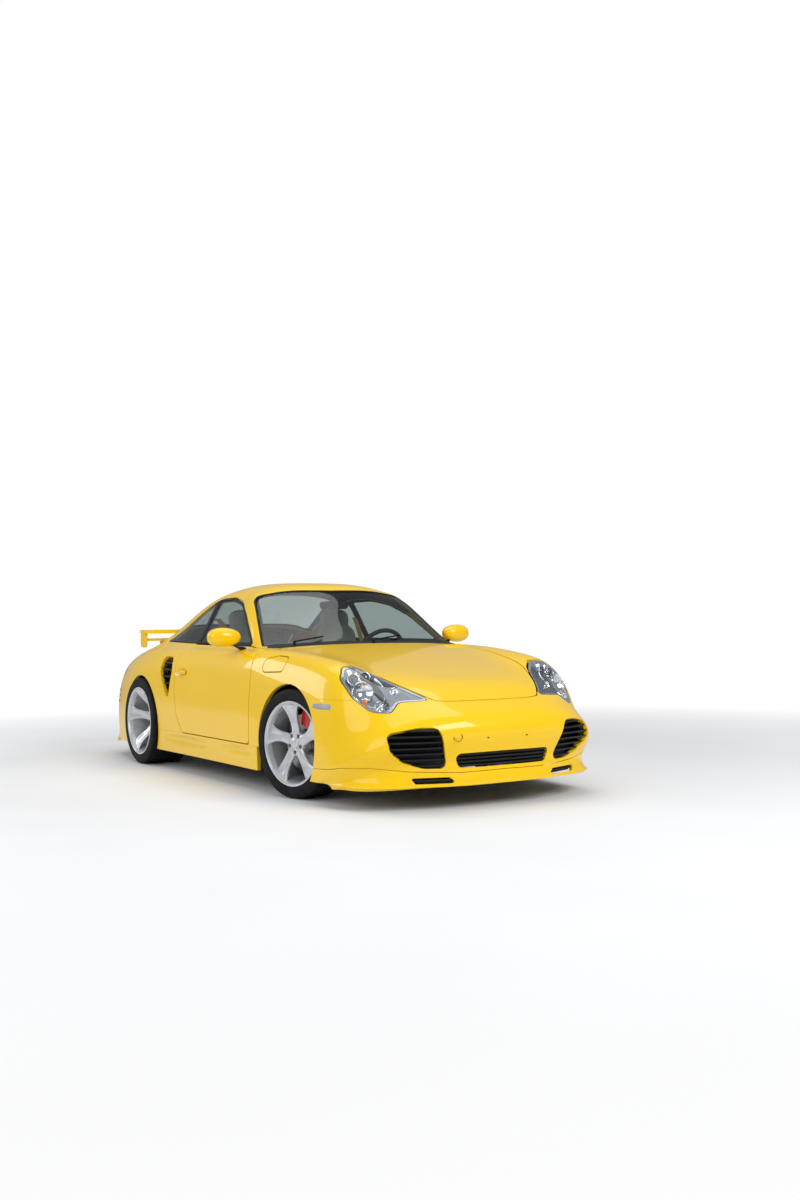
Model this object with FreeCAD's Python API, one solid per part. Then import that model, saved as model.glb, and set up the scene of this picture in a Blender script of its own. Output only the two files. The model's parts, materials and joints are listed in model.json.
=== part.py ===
import FreeCAD, Part
import math
import os

# Sizes in mm: front axle at y 0 while drawing, ground at z 0, +X the car's left
WHEELBASE = 2350.0
FRONT_TRACK = 1472.0
REAR_TRACK = 1528.0
FRONT_TYRE_R = 318.5
REAR_TYRE_R = 317.0
FRONT_TYRE_W = 225.0
REAR_TYRE_W = 295.0
FRONT_RIM_W = 219.0
REAR_RIM_W = 292.0
RIM_LIP_R = 248.5
BEAD_R = 229.0
REST_STEER = 12.0
KINGPIN_X = 720.0
FLOOR_Z = 130.0
SHAFT_R = 22.0
STRUT_R = 16.0
SKIN = 24.0
DOOR_INNER_X = 700.0
DOOR_T = 78.0
GAP = 6.0
FIT = 0.3
ORIGIN_Y = 1196.5
FRONT_ARCH_R = 346.0
REAR_ARCH_R = 336.0
DOOR_FRONT_Y = 486.0
DOOR_REAR_Y = 1704.0
SKIRT_TOP_Z = 275.0
BUMPER_TOP_Z = 592.0
REAR_BUMPER_TOP_Z = 640.0
LAMP_DEPTH = 95.0
STEER_WHEEL = (370.0, 985.0, 800.0)
MIRROR = (889.0, 812.0, 936.0)
STEER_TILT = 24.0
STEER_RATIO = 16.0

# Body stations: centre y, side y, crown z, then x and z of the lines from crown to sill
COLUMNS = (
    "yc", "ys", "zc", "mid", "rin_x", "rin_z", "rout_x", "rout_z", "bin_x", "bin_z",
    "bout_x", "bout_z", "crest_x", "crest_z", "flank_x", "flank_z", "low_x", "low_z", "sill",
)
ROWS = (
    (-985, -520, 130, 260, 420, 130, 520, 130, 610, 130, 680, 130, 755, 130, 808, 130, 830, 130, 836),
    (-990, -430, 180, 260, 420, 175, 520, 172, 610, 168, 680, 164, 755, 157, 808, 149, 830, 140, 836),
    (-940, -415, 250, 260, 420, 239, 520, 231, 610, 222, 680, 213, 755, 195, 810, 174, 836, 153, 842),
    (-1024, -385, 400, 270, 450, 387, 540, 375, 630, 358, 700, 342, 770, 304, 822, 251, 846, 192, 850),
    (-984, -360, 510, 270, 450, 490, 545, 469, 635, 445, 705, 415, 775, 362, 828, 283, 850, 210, 852),
    (-845, -335, 572, 270, 450, 559, 545, 538, 640, 508, 710, 468, 782, 402, 836, 315, 853, 221, 853),
    (-705, -300, 668, 270, 445, 648, 535, 640, 628, 628, 705, 605, 788, 540, 842, 405, 856, 245, 855),
    (-470, -240, 722, 270, 440, 722, 530, 730, 615, 770, 700, 782, 795, 728, 848, 520, 860, 280, 856),
    (-150, -90, 778, 280, 460, 779, 545, 788, 625, 812, 705, 828, 805, 788, 856, 590, 862, 310, 858),
    (150, 130, 828, 290, 480, 826, 570, 830, 650, 846, 720, 858, 822, 812, 864, 605, 868, 320, 864),
    (380, 400, 864, 300, 520, 858, 620, 854, 700, 858, 765, 860, 840, 818, 868, 620, 880, 360, 870),
    (500, 510, 880, 310, 540, 872, 640, 864, 712, 864, 775, 862, 848, 818, 866, 640, 882, 390, 869),
    (555, 575, 886, 320, 560, 878, 665, 868, 722, 866, 775, 862, 850, 818, 866, 645, 883, 395, 868),
    (600, 640, 912, 320, 570, 898, 690, 885, 728, 864, 770, 857, 851, 817, 867, 650, 884, 400, 867),
    (720, 760, 1010, 320, 560, 990, 682, 962, 730, 868, 770, 856, 852, 816, 868, 650, 884, 400, 866),
    (880, 900, 1130, 315, 525, 1115, 640, 1098, 730, 869, 769, 856, 853, 816, 868, 650, 884, 400, 866),
    (1040, 1060, 1265, 310, 487, 1226, 592, 1222, 728, 870, 768, 857, 854, 816, 868, 650, 884, 400, 866),
    (1180, 1190, 1296, 305, 482, 1250, 572, 1200, 726, 872, 767, 858, 854, 817, 868, 650, 884, 400, 866),
    (1400, 1400, 1310, 300, 482, 1264, 560, 1203, 716, 873, 762, 859, 852, 818, 870, 650, 884, 400, 866),
    (1650, 1650, 1292, 295, 478, 1250, 552, 1190, 694, 874, 750, 860, 852, 818, 880, 650, 886, 395, 868),
    (1950, 1950, 1238, 290, 476, 1205, 556, 1140, 680, 895, 745, 862, 862, 814, 896, 640, 888, 370, 872),
    (2250, 2250, 1135, 285, 468, 1108, 552, 1050, 662, 905, 742, 858, 866, 802, 908, 630, 898, 370, 878),
    (2550, 2520, 1010, 280, 462, 993, 548, 962, 645, 872, 728, 835, 848, 782, 906, 622, 894, 370, 874),
    (2850, 2750, 910, 270, 448, 896, 532, 878, 615, 846, 695, 810, 800, 745, 868, 595, 872, 380, 862),
    (3150, 2910, 850, 255, 418, 842, 492, 832, 575, 808, 650, 775, 745, 702, 822, 545, 840, 350, 838),
    (3330, 3000, 770, 240, 395, 765, 465, 755, 543, 735, 613, 700, 705, 620, 785, 470, 818, 300, 824),
    (3400, 3050, 600, 238, 385, 595, 455, 585, 528, 565, 595, 530, 682, 460, 758, 350, 798, 240, 810),
    (3420, 3070, 400, 238, 385, 394, 455, 386, 528, 370, 595, 345, 682, 300, 752, 245, 790, 190, 805),
    (3405, 3095, 250, 238, 385, 247, 455, 243, 528, 235, 595, 225, 682, 207, 750, 185, 786, 158, 802),
    (3380, 3140, 130, 238, 385, 130, 455, 130, 528, 130, 595, 130, 682, 130, 748, 130, 784, 130, 800),
)
STATIONS = [dict(zip(COLUMNS, row)) for row in ROWS]
LINES = ("rin", "rout", "bin", "bout", "crest", "flank", "low")


def vec(x, y, z):
    return FreeCAD.Vector(x, y, z)


def half_row(s, ref):
    pts = [(0.0, s["zc"], ref["zc"]), (s["mid"], s["zc"], ref["zc"])]
    for name in LINES:
        pts.append((s[name + "_x"], s[name + "_z"], ref[name + "_z"]))
    pts.append((s["sill"], FLOOR_Z, FLOOR_Z))
    row = []
    for x, z, zr in pts:
        w = (ref["zc"] - zr) / (ref["zc"] - FLOOR_Z)
        row.append(vec(x, s["yc"] + w * (s["ys"] - s["yc"]), z))
    return row


# Pole net of the body, mirrored about x 0
def body_net():
    net = []
    last = len(STATIONS) - 1
    for k, s in enumerate(STATIONS):
        ref = s
        if k == 0:
            ref = STATIONS[1]
        if k == last:
            ref = STATIONS[last - 1]
        half = half_row(s, ref)
        left = [vec(-p.x, p.y, p.z) for p in reversed(half[1:])]
        net.append(left + half)
    return net


# The same net moved inwards by a thickness, its rim dropped below the floor
def inner_net(net, t):
    out = []
    nu = len(net)
    nv = len(net[0])
    for i in range(nu):
        row = []
        for j in range(nv):
            m = min(max(i, 1), nu - 2)
            n_j = min(max(j, 1), nv - 2)
            along = net[m + 1][n_j] - net[m - 1][n_j]
            across = net[m][n_j + 1] - net[m][n_j - 1]
            n = along.cross(across)
            n.normalize()
            p = net[i][j] + n * t
            if m != i or n_j != j:
                p.z = FLOOR_Z - 40.0
            row.append(p)
        out.append(row)
    return out


def net_solid(net):
    nu = len(net)
    nv = len(net[0])
    um = [4] + [1] * (nu - 4) + [4]
    vm = [4] + [1] * (nv - 4) + [4]
    uk = [float(k) for k in range(nu - 2)]
    vk = [float(k) for k in range(nv - 2)]
    surf = Part.BSplineSurface()
    surf.buildFromPolesMultsKnots(net, um, vm, uk, vk, False, False, 3, 3)
    face = surf.toShape()
    wire = Part.Wire(Part.__sortEdges__(face.Edges))
    base = Part.Face(wire)
    shell = Part.makeShell([face, base])
    shell.sewShape()
    solid = Part.makeSolid(shell)
    if solid.Volume < 0:
        solid.reverse()
    return solid


def inside(t):
    if t not in SOLIDS:
        SOLIDS[t] = net_solid(inner_net(NET, t)) if t > 0 else net_solid(NET)
    return SOLIDS[t]


# The wall between two depths under the body's surface
def layer(t0, t1):
    if (t0, t1) not in SOLIDS:
        SOLIDS[(t0, t1)] = inside(t0).cut(inside(t1))
    return SOLIDS[(t0, t1)]


def thick_shell(t):
    return layer(0.0, t)


def box(x0, x1, y0, y1, z0, z1):
    return Part.makeBox(x1 - x0, y1 - y0, z1 - z0, vec(x0, y0, z0))


def rod(r, p, q):
    return Part.makeCylinder(r, p.distanceToPoint(q), p, q - p)


def mirrored(shape):
    return shape.mirror(vec(0, 0, 0), vec(1, 0, 0))


def pair(shape):
    return Part.makeCompound([shape, mirrored(shape)])


# Polygon of (a, b, corner radius) grown outwards by a distance
def grown(points, grow):
    n = len(points)
    area = 0.0
    for k in range(n):
        a = points[k]
        b = points[(k + 1) % n]
        area += a[0] * b[1] - b[0] * a[1]
    side = 1.0 if area > 0 else -1.0
    out = []
    for k in range(n):
        p = points[k - 1]
        q = points[k]
        r = points[(k + 1) % n]
        d0 = unit(q[0] - p[0], q[1] - p[1])
        d1 = unit(r[0] - q[0], r[1] - q[1])
        n0 = (d0[1] * side, -d0[0] * side)
        n1 = (d1[1] * side, -d1[0] * side)
        m = 1.0 + n0[0] * n1[0] + n0[1] * n1[1]
        x = q[0] + grow * (n0[0] + n1[0]) / m
        y = q[1] + grow * (n0[1] + n1[1]) / m
        out.append((x, y, q[2] + grow if q[2] > 0 else 0.0))
    return out


def unit(x, y):
    h = math.hypot(x, y)
    return (x / h, y / h)


# Lines joined by tangent arcs, placed in the given plane
def outline_wire(points, place):
    n = len(points)
    ends = []
    for k in range(n):
        p = points[k - 1]
        q = points[k]
        r = points[(k + 1) % n]
        lp = math.hypot(p[0] - q[0], p[1] - q[1])
        lr = math.hypot(r[0] - q[0], r[1] - q[1])
        u = unit(p[0] - q[0], p[1] - q[1])
        v = unit(r[0] - q[0], r[1] - q[1])
        cos = max(-1.0, min(1.0, u[0] * v[0] + u[1] * v[1]))
        half = math.acos(cos) / 2.0
        cut = 0.0
        if q[2] > 0 and half < math.pi / 2.0 - 0.002:
            cut = min(q[2] / math.tan(half), 0.47 * lp, 0.47 * lr)
        a = (q[0] + u[0] * cut, q[1] + u[1] * cut)
        b = (q[0] + v[0] * cut, q[1] + v[1] * cut)
        w = unit(u[0] + v[0] + 1e-12, u[1] + v[1])
        rad = cut * math.tan(half)
        gap = rad / math.sin(half) - rad if cut > 0 else 0.0
        ends.append((a, (q[0] + w[0] * gap, q[1] + w[1] * gap), b, cut))
    edges = []
    for k in range(n):
        a, m, b, cut = ends[k]
        if cut > 0:
            edges.append(Part.Arc(place(a), place(m), place(b)).toShape())
        nxt = ends[(k + 1) % n][0]
        if math.hypot(nxt[0] - b[0], nxt[1] - b[1]) > 0.01:
            edges.append(Part.makeLine(place(b), place(nxt)))
    return Part.Wire(edges)


def side_prism(points, x0, x1, grow=0.0):
    wire = outline_wire(grown(points, grow), lambda p: vec(x0, p[0], p[1]))
    return Part.Face(wire).extrude(vec(x1 - x0, 0, 0))


def top_prism(points, z0, z1, grow=0.0):
    wire = outline_wire(grown(points, grow), lambda p: vec(p[0], p[1], z0))
    return Part.Face(wire).extrude(vec(0, 0, z1 - z0))


def front_prism(points, y0, y1, grow=0.0):
    wire = outline_wire(grown(points, grow), lambda p: vec(p[0], y0, p[1]))
    return Part.Face(wire).extrude(vec(0, y1 - y0, 0))


# A half outline from centre to centre, closed by its mirror image
def whole(half):
    back = [(-x, y, r) for x, y, r in reversed(half) if abs(x) > 0.01]
    return list(half) + back


# The largest solid that a boolean leaves
def largest(shape):
    solids = sorted(shape.Solids, key=lambda s: s.Volume)
    return solids[-1]


def spin_about(shape, x, y, degrees):
    turned = shape.copy()
    turned.rotate(vec(x, y, 0), vec(0, 0, 1), degrees)
    return turned


def save(name, shape):
    placed = shape.copy()
    placed.translate(vec(0, -ORIGIN_Y, 0))
    placed.exportStep("parts/%s.step" % name)
    print(name, len(placed.Solids), placed.isValid(), placed.BoundBox)


# Outlines as a, b and corner radius
BONNET = whole([(0, -846, 3000), (250, -838, 400), (350, -812, 60), (432, -700, 300), (497, -560, 300),
                (548, -400, 600), (606, 0, 1500), (642, 300, 900), (655, 460, 300), (648, 496, 20),
                (0, 522, 3000)])
COWL = whole([(0, 500, 0), (640, 480, 0), (690, 520, 50), (712, 570, 30), (600, 640, 0), (0, 640, 0)])
WINDSCREEN = whole([(0, 556, 3000), (520, 566, 900), (724, 590, 36), (572, 1052, 50), (0, 1029, 3000)])
REAR_WINDOW = whole([(0, 1846, 3000), (496, 1866, 60), (590, 2490, 80), (0, 2556, 2000)])
ENGINE_LID = whole([(0, 2600, 3000), (505, 2612, 50), (580, 2900, 900), (600, 3140, 100), (520, 3290, 80),
                    (0, 3335, 2000)])
LAMP = [(372, 588, 10), (470, 662, 60), (545, 728, 120), (622, 777, 70), (712, 772, 60), (764, 704, 60),
        (750, 604, 60), (694, 526, 55), (612, 524, 50), (548, 578, 60), (430, 584, 100)]
SIDE_GLASS = [(716, 876, 12), (1010, 1082, 300), (1200, 1172, 300), (1400, 1207, 400), (1650, 1203, 500),
              (1894, 1158, 400), (2150, 1062, 400), (2424, 922, 25), (2370, 898, 30), (1704, 886, 600)]
SIDE_LIMIT = [(500, 600, 0), (500, 1500, 0), (545, 1860, 100), (650, 2440, 0), (1100, 2440, 0),
              (1100, 600, 0)]
DOOR = [(DOOR_FRONT_Y, SKIRT_TOP_Z + GAP, 30), (DOOR_FRONT_Y, 871, 6), (DOOR_REAR_Y, 881, 6),
        (DOOR_REAR_Y, 560, 150), (1668, 390, 120), (1572, SKIRT_TOP_Z + GAP, 60)]
DOOR_LIMIT = [(745, 460, 0), (738, 712, 0), (650, 740, 0), (600, 1710, 0), (1100, 1710, 0), (1100, 460, 0)]
TAIL_LAMP = [(505, 736, 20), (640, 742, 60), (800, 700, 50), (820, 645, 10), (520, 645, 20)]
CORNER_INLET = [(352, 224, 32), (428, 450, 48), (530, 452, 80), (694, 420, 45), (676, 322, 70),
                (590, 256, 90), (480, 226, 80)]
CENTRE_SLOT = whole([(0, 303, 3000), (322, 301, 32), (292, 224, 28), (0, 223, 3000)])
LIP_SLOT = [(312, 146, 9), (350, 179, 9), (556, 180, 9), (536, 148, 9)]
FUEL_FLAP = [(345, 722, 42), (345, 806, 46), (215, 828, 90), (90, 820, 40), (84, 730, 40)]
SIDE_INTAKE = [(1762, 700, 80), (1790, 795, 35), (1955, 800, 28), (1980, 690, 120), (1848, 515, 24),
               (1812, 520, 18)]
MARKER = [(-478, 536, 12), (-478, 566, 12), (-300, 566, 12), (-300, 536, 12)]


def arch(side_y, z, r):
    return Part.makeCylinder(r, 2200, vec(-1100, side_y, z), vec(1, 0, 0))


SOLIDS = {}
NET = body_net()
OUTER = inside(0.0)
BODY = thick_shell(SKIN)
FRONT_ARCH = arch(0.0, FRONT_TYRE_R, FRONT_ARCH_R)
REAR_ARCH = arch(WHEELBASE, REAR_TYRE_R, REAR_ARCH_R)
LEFT = box(0, 1100, -1200, 3600, 0, 1500)


# The door's space, from its outline seen from the side and its shoulder line seen from above
def door_zone(grow):
    return side_prism(DOOR, 600, 1100, grow).common(top_prism(DOOR_LIMIT, 100, 1300, grow))


def lamp_cut(grow):
    one = front_prism(LAMP, -1100, -250, grow)
    return one.fuse(mirrored(one))


def tail_cut(grow):
    one = front_prism(TAIL_LAMP, 2880, 3500, grow)
    return one.fuse(mirrored(one))


def bonnet():
    cut = BODY.common(top_prism(BONNET, 500, 1000))
    return largest(cut.cut(lamp_cut(GAP)))


def front_wings():
    left = BODY.common(LEFT).common(box(0, 1100, -1200, DOOR_FRONT_Y - FIT, SKIRT_TOP_Z + FIT, 1000))
    left = left.cut(box(0, 1100, DOOR_FRONT_Y - GAP, 600, 0, 878))
    left = left.cut(box(0, 1100, -1200, 0, 0, BUMPER_TOP_Z + FIT))
    left = left.cut(top_prism(BONNET, 450, 1100, GAP)).cut(FRONT_ARCH)
    left = left.cut(front_prism(LAMP, -1100, -250, FIT))
    right = mirrored(largest(left))
    recess = side_prism(FUEL_FLAP, -1000, -700).common(thick_shell(6.0 + FIT))
    return Part.makeCompound([largest(left), right.cut(recess)])


def fuel_flap():
    return largest(thick_shell(6.0).common(side_prism(FUEL_FLAP, -1000, -700, -5.2)))


def front_bumper():
    skin = BODY.common(box(-1100, 1100, -1200, 0, 0, BUMPER_TOP_Z)).cut(FRONT_ARCH)
    skin = skin.cut(lamp_cut(FIT)).cut(top_prism(BONNET, 450, 1100, GAP))
    for outline in (CORNER_INLET, LIP_SLOT):
        hole = front_prism(outline, -1100, -700)
        skin = skin.cut(hole).cut(mirrored(hole))
    skin = skin.cut(front_prism(CENTRE_SLOT, -1100, -700))
    mark = side_prism(MARKER, 700, 1000)
    skin = skin.cut(mark).cut(mirrored(mark))
    return largest(skin)


def side_markers():
    left = layer(0.5, 14.0).common(side_prism(MARKER, 700, 1000, -FIT))
    return pair(largest(left))


def headlamps():
    left = thick_shell(LAMP_DEPTH).common(front_prism(LAMP, -1100, -250))
    return pair(largest(left.cut(top_prism(BONNET, 450, 1100, GAP))))


# Bars in an opening, joined by a slanted plate behind, their fronts trimmed to the bumper's face
def louvres(outline, z0, z1, count, near, far):
    front = front_prism(outline, -1100, -600, -FIT)
    plan = [(-400, near[1], 0), (near[0], near[1], 0), (far[0], far[1], 0), (far[0], -1100, 0),
            (-400, -1100, 0)]
    plate = [(-400, near[1] - 12, 0), (-400, near[1], 0), (near[0], near[1], 0), (far[0], far[1], 0),
             (far[0], far[1] - 12, 0), (near[0], near[1] - 12, 0)]
    pitch = (z1 - z0) / count
    pieces = []
    for k in range(count):
        z = z0 + pitch * (k + 0.5)
        pieces.append(top_prism(plan, z - 4.5, z + 4.5))
    block = top_prism(plate, z0 - 10, z1 + 10).fuse(pieces)
    return largest(block.common(front.common(inside(9.0))))


def front_grilles():
    corner = louvres(CORNER_INLET, 226, 450, 7, (360, -905), (720, -752))
    slot = louvres(CENTRE_SLOT, 224, 303, 4, (400, -915), (500, -885))
    lip = louvres(LIP_SLOT, 148, 179, 1, (300, -925), (600, -822))
    return Part.makeCompound([corner, mirrored(corner), slot, lip, mirrored(lip)])


def door_left():
    outer = BODY.common(LEFT).common(door_zone(0.0))
    inner = layer(SKIN - 1.0, DOOR_T).common(box(DOOR_INNER_X, 1100, 400, 1800, 200, 1000))
    inner = inner.common(door_zone(-14.0))
    handle = box(858, 884, 1516, 1688, 682, 704)
    handle = handle.makeFillet(7.0, handle.Edges)
    panel = largest(outer).fuse(largest(inner))
    return largest(panel.fuse(handle).removeSplitter())


def door_glass_left():
    pane = layer(4.0, 9.0).common(LEFT).common(side_prism(SIDE_GLASS, 300, 1000, -GAP))
    pane = pane.common(top_prism(SIDE_LIMIT, 800, 1400, -GAP))
    sill = layer(4.0, 9.0).common(box(0, 1000, 762, 1656, 866, 896)).cut(side_prism(DOOR, 600, 1100))
    return largest(pane.common(box(0, 1000, 0, 1668, 860, 1300)).fuse(sill).removeSplitter())


def quarter_windows():
    pane = layer(4.0, 9.0).common(LEFT).common(side_prism(SIDE_GLASS, 300, 1000, -FIT))
    pane = pane.common(top_prism(SIDE_LIMIT, 800, 1400, -FIT))
    return pair(largest(pane.common(box(0, 1000, 1714 + FIT, 2600, 860, 1300))))


def windscreen():
    return largest(layer(4.0, 9.0).common(top_prism(WINDSCREEN, 600, 1400, -FIT)))


def rear_window():
    return largest(layer(4.0, 9.0).common(top_prism(REAR_WINDOW, 700, 1400, -FIT)))


# Strip between the bonnet and the windscreen
def cowl():
    strip = BODY.common(top_prism(COWL, 700, 1100))
    strip = strip.cut(top_prism(BONNET, 450, 1100, GAP)).cut(top_prism(WINDSCREEN, 600, 1400, FIT))
    return largest(strip.cut(box(-1100, 1100, 400, DOOR_FRONT_Y, 600, 1100)))


def body_shell():
    shell = BODY.common(box(-1100, 1100, DOOR_FRONT_Y, 3600, SKIRT_TOP_Z + FIT, 1500))
    shell = shell.cut(top_prism(BONNET, 450, 1100, GAP)).cut(top_prism(COWL, 450, 1100, FIT))
    shell = shell.cut(top_prism(WINDSCREEN, 600, 1400))
    shell = shell.cut(top_prism(REAR_WINDOW, 600, 1400))
    shell = shell.cut(top_prism(ENGINE_LID, 450, 1100, GAP))
    glass = side_prism(SIDE_GLASS, 300, 1100).common(top_prism(SIDE_LIMIT, 800, 1400))
    pillar = box(300, 1100, 1674, 1714, 800, 1300)
    sides = door_zone(GAP - 0.5).fuse(side_prism(SIDE_INTAKE, 700, 1100))
    glass = glass.cut(pillar)
    shell = shell.cut(glass).cut(mirrored(glass))
    shell = shell.cut(sides).cut(mirrored(sides))
    shell = shell.cut(box(-1100, 1100, 2400, 3600, 0, REAR_BUMPER_TOP_Z + FIT)).cut(REAR_ARCH)
    shell = shell.cut(tail_cut(FIT))
    return largest(shell)


def engine_lid():
    return largest(BODY.common(top_prism(ENGINE_LID, 500, 1100)))


def tail_lamps():
    left = thick_shell(60.0).common(front_prism(TAIL_LAMP, 2880, 3500))
    left = left.cut(top_prism(ENGINE_LID, 450, 1100, GAP))
    return pair(largest(left))


def rear_bumper():
    skin = BODY.common(box(-1100, 1100, 2400, 3600, 0, REAR_BUMPER_TOP_Z)).cut(REAR_ARCH)
    for x in (-560, 560):
        skin = skin.cut(box(x - 110, x + 110, 3200, 3600, 100, 262))
    return largest(skin)


def side_skirts():
    left = BODY.common(LEFT).common(box(0, 1100, 0, WHEELBASE, 0, SKIRT_TOP_Z))
    return pair(largest(left.cut(FRONT_ARCH).cut(REAR_ARCH)))


def side_intakes():
    duct = layer(SKIN + FIT, 60.0).common(side_prism(SIDE_INTAKE, 700, 1100, 8.0))
    return pair(largest(duct.common(box(0, 1100, 1753, 2200, 0, 900))))


def beam(s, x0, x1, y0, y1, z0, z1):
    return box(min(s * x0, s * x1), max(s * x0, s * x1), y0, y1, z0, z1)


def floor_pan():
    near = inside(SKIN + FIT)
    parts = [box(-110, 110, 372, 1985, 150, 330)]
    for s in (-1, 1):
        parts.append(beam(s, 696, 920, 372, 1985, 150, SKIRT_TOP_Z - 5).common(near))
        parts.append(beam(s, 696, 780, 372, 1985, SKIRT_TOP_Z - 6, 345))
        parts.append(beam(s, 690, 920, 372, DOOR_FRONT_Y - FIT, SKIRT_TOP_Z - 6, 830).common(near))
        parts.append(beam(s, 700, 920, 1712, 1752, SKIRT_TOP_Z - 6, 850).common(near))
    pan = box(-700, 700, 372, 1985, 150, 170)
    return largest(pan.fuse(parts).removeSplitter())


def front_tub():
    tub = box(-415, 415, -640, 352, 300, 690).cut(box(-409, 409, -634, 346, 306, 700)).common(inside(34.0))
    parts = [box(-350, 350, -900, -858, 301, 380)]
    parts.append(box(-350, 350, -1030, -890, 330, 380).common(inside(SKIN + FIT)))
    for s in (-1, 1):
        parts.append(beam(s, 290, 340, -860, 352, 240, 301))
    return largest(tub.fuse(parts).removeSplitter())


def bulkheads():
    shelf = box(-690, 690, 360, 652 - FIT, 790, 806)
    front = box(-700, 700, 352, 372, 150, 806).fuse(shelf).common(inside(34.0))
    wall = [(1985, 150, 0), (1985, 200, 0), (2230, 640, 0), (2230, 840, 0), (2560, 850, 0), (2560, 838, 0),
            (2250, 828, 0), (2250, 630, 0), (2010, 160, 0), (2010, 150, 0)]
    rear = side_prism(wall, -560, 560)
    parts = []
    pads = []
    for s in (-1, 1):
        rail = beam(s, 345, 385, 1985, 3450, 262, 330).common(inside(SKIN + FIT))
        near = vec(s * 300, WHEELBASE, REAR_TYRE_R)
        shaft = rod(SHAFT_R + 5.0, near, vec(s * 420, WHEELBASE, REAR_TYRE_R))
        parts.append(rail.cut(shaft))
        parts.append(beam(s, 380, 420, 2540, 2646, 836, 980).common(inside(SKIN + FIT)))
        pads.append(beam(s, 440, 480, 484, 514, 800, 950).common(inside(SKIN + FIT)))
    front = largest(front.fuse(pads).removeSplitter())
    return Part.makeCompound([front, largest(rear.fuse(parts).removeSplitter())])


def dashboard():
    profile = [(652, 800, 0), (690, 842, 30), (850, 862, 30), (905, 815, 25), (900, 690, 40), (800, 560, 40),
               (652, 560, 0)]
    body = side_prism(profile, -690, 690)
    hood = side_prism([(700, 830, 0), (760, 898, 30), (905, 890, 20), (905, 830, 0)], 215, 525)
    centre = vec(*STEER_WHEEL)
    tilt = math.radians(STEER_TILT)
    axis = vec(0, math.cos(tilt), math.sin(tilt))
    column = rod(24, centre - axis * (22 + FIT), centre - axis * 170)
    return largest(body.fuse(hood).common(inside(30.0)).fuse(column).removeSplitter())


def console():
    profile = [(860, 330 + FIT, 0), (860, 560, 20), (900, 560, 20), (960, 430, 60), (1480, 410, 20),
               (1480, 330 + FIT, 0)]
    return side_prism(profile, -100, 100)


def seat(x):
    squab = [(930, 300, 20), (920, 440, 50), (1100, 430, 200), (1440, 400, 20), (1440, 260, 20),
             (960, 260, 20)]
    rest = [(1400, 270, 20), (1390, 460, 60), (1580, 960, 60), (1620, 1130, 40), (1690, 1120, 40),
            (1680, 960, 80), (1560, 420, 60), (1530, 270, 20)]
    front = [(x - 250, 250, 0), (x - 250, 800, 120), (x - 150, 950, 60), (x - 130, 1140, 40),
             (x + 130, 1140, 40), (x + 150, 950, 60), (x + 250, 800, 120), (x + 250, 250, 0)]
    cushion = side_prism(squab, x - 240, x + 240)
    back = side_prism(rest, x - 240, x + 240)
    taper = front_prism(front, 800, 1800)
    feet = [box(x + a, x + a + 40, 980, 1400, 170 + FIT, 270) for a in (-190, 150)]
    return cushion.fuse([back.common(taper)] + feet).removeSplitter()


def front_seats():
    return Part.makeCompound([seat(-370), seat(370)])


def rear_bench():
    rest = [(1960, 430, 0), (1985, 520, 20), (2120, 830, 40), (2190, 830, 40), (2190, 640, 0),
            (2060, 430, 0)]
    left = box(140, 520, 1760, 2000, 420, 520).fuse(side_prism(rest, 140, 520))
    left = left.fuse(box(140, 520, 1760, 1800, 170 + FIT, 430))
    return pair(left.removeSplitter())


def steering_wheel():
    ring = Part.makeTorus(178, 15)
    hub = Part.makeCylinder(50, 40, vec(0, 0, -22))
    parts = [hub]
    for a in (0, 180, 270):
        spoke = box(40, 176, -14, 14, -6, 6)
        spoke.rotate(vec(0, 0, 0), vec(0, 0, 1), a)
        parts.append(spoke)
    wheel = ring.fuse(parts).removeSplitter()
    wheel.rotate(vec(0, 0, 0), vec(0, 0, 1), REST_STEER * STEER_RATIO)
    wheel.rotate(vec(0, 0, 0), vec(1, 0, 0), -(90 - STEER_TILT))
    wheel.translate(vec(*STEER_WHEEL))
    return wheel


def mirror_left():
    curve = [(-108, 0), (-96, 38), (-62, 53), (8, 62), (70, 50), (97, 30), (106, 0)]
    pts = [vec(a, 0, b) for a, b in curve]
    edges = [Part.Arc(pts[k], pts[k + 1], pts[k + 2]).toShape() for k in (0, 2, 4)]
    edges.append(Part.makeLine(vec(106, 0, 0), vec(-108, 0, 0)))
    head = Part.Face(Part.Wire(edges)).revolve(vec(0, 0, 0), vec(1, 0, 0), 360)
    head.rotate(vec(0, 0, 0), vec(0, 0, 1), 8)
    head.translate(vec(*MIRROR))
    head = head.cut(box(700, 1100, MIRROR[1] + 30, 1000, 800, 1100))
    foot = rod(15, vec(786, 806, 860), vec(850, 812, 925)).cut(inside(-FIT))
    base = box(735, 815, 776, 838, 838, 872).cut(inside(-FIT))
    return largest(head.fuse([largest(foot), largest(base)]).removeSplitter())


def rear_wing():
    low = [(0, 2945, 2000), (560, 2935, 60), (640, 2955, 30), (640, 3040, 40), (560, 3060, 60),
           (0, 3085, 2000)]
    high = [(0, 2890, 2000), (600, 2880, 60), (650, 2920, 40), (650, 3040, 40), (0, 3090, 2000)]
    deck = top_prism(whole(low), 898, 918)
    blade = top_prism(whole(high), 956, 986)
    posts = [box(x, x + 24, 2955, 3035, 910, 970) for x in (-640, -12, 616)]
    feet = [box(x, x + 60, 2950, 3040, 840, 900).cut(inside(-FIT)) for x in (-480, 420)]
    return deck.fuse([blade] + posts + feet).removeSplitter()


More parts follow.
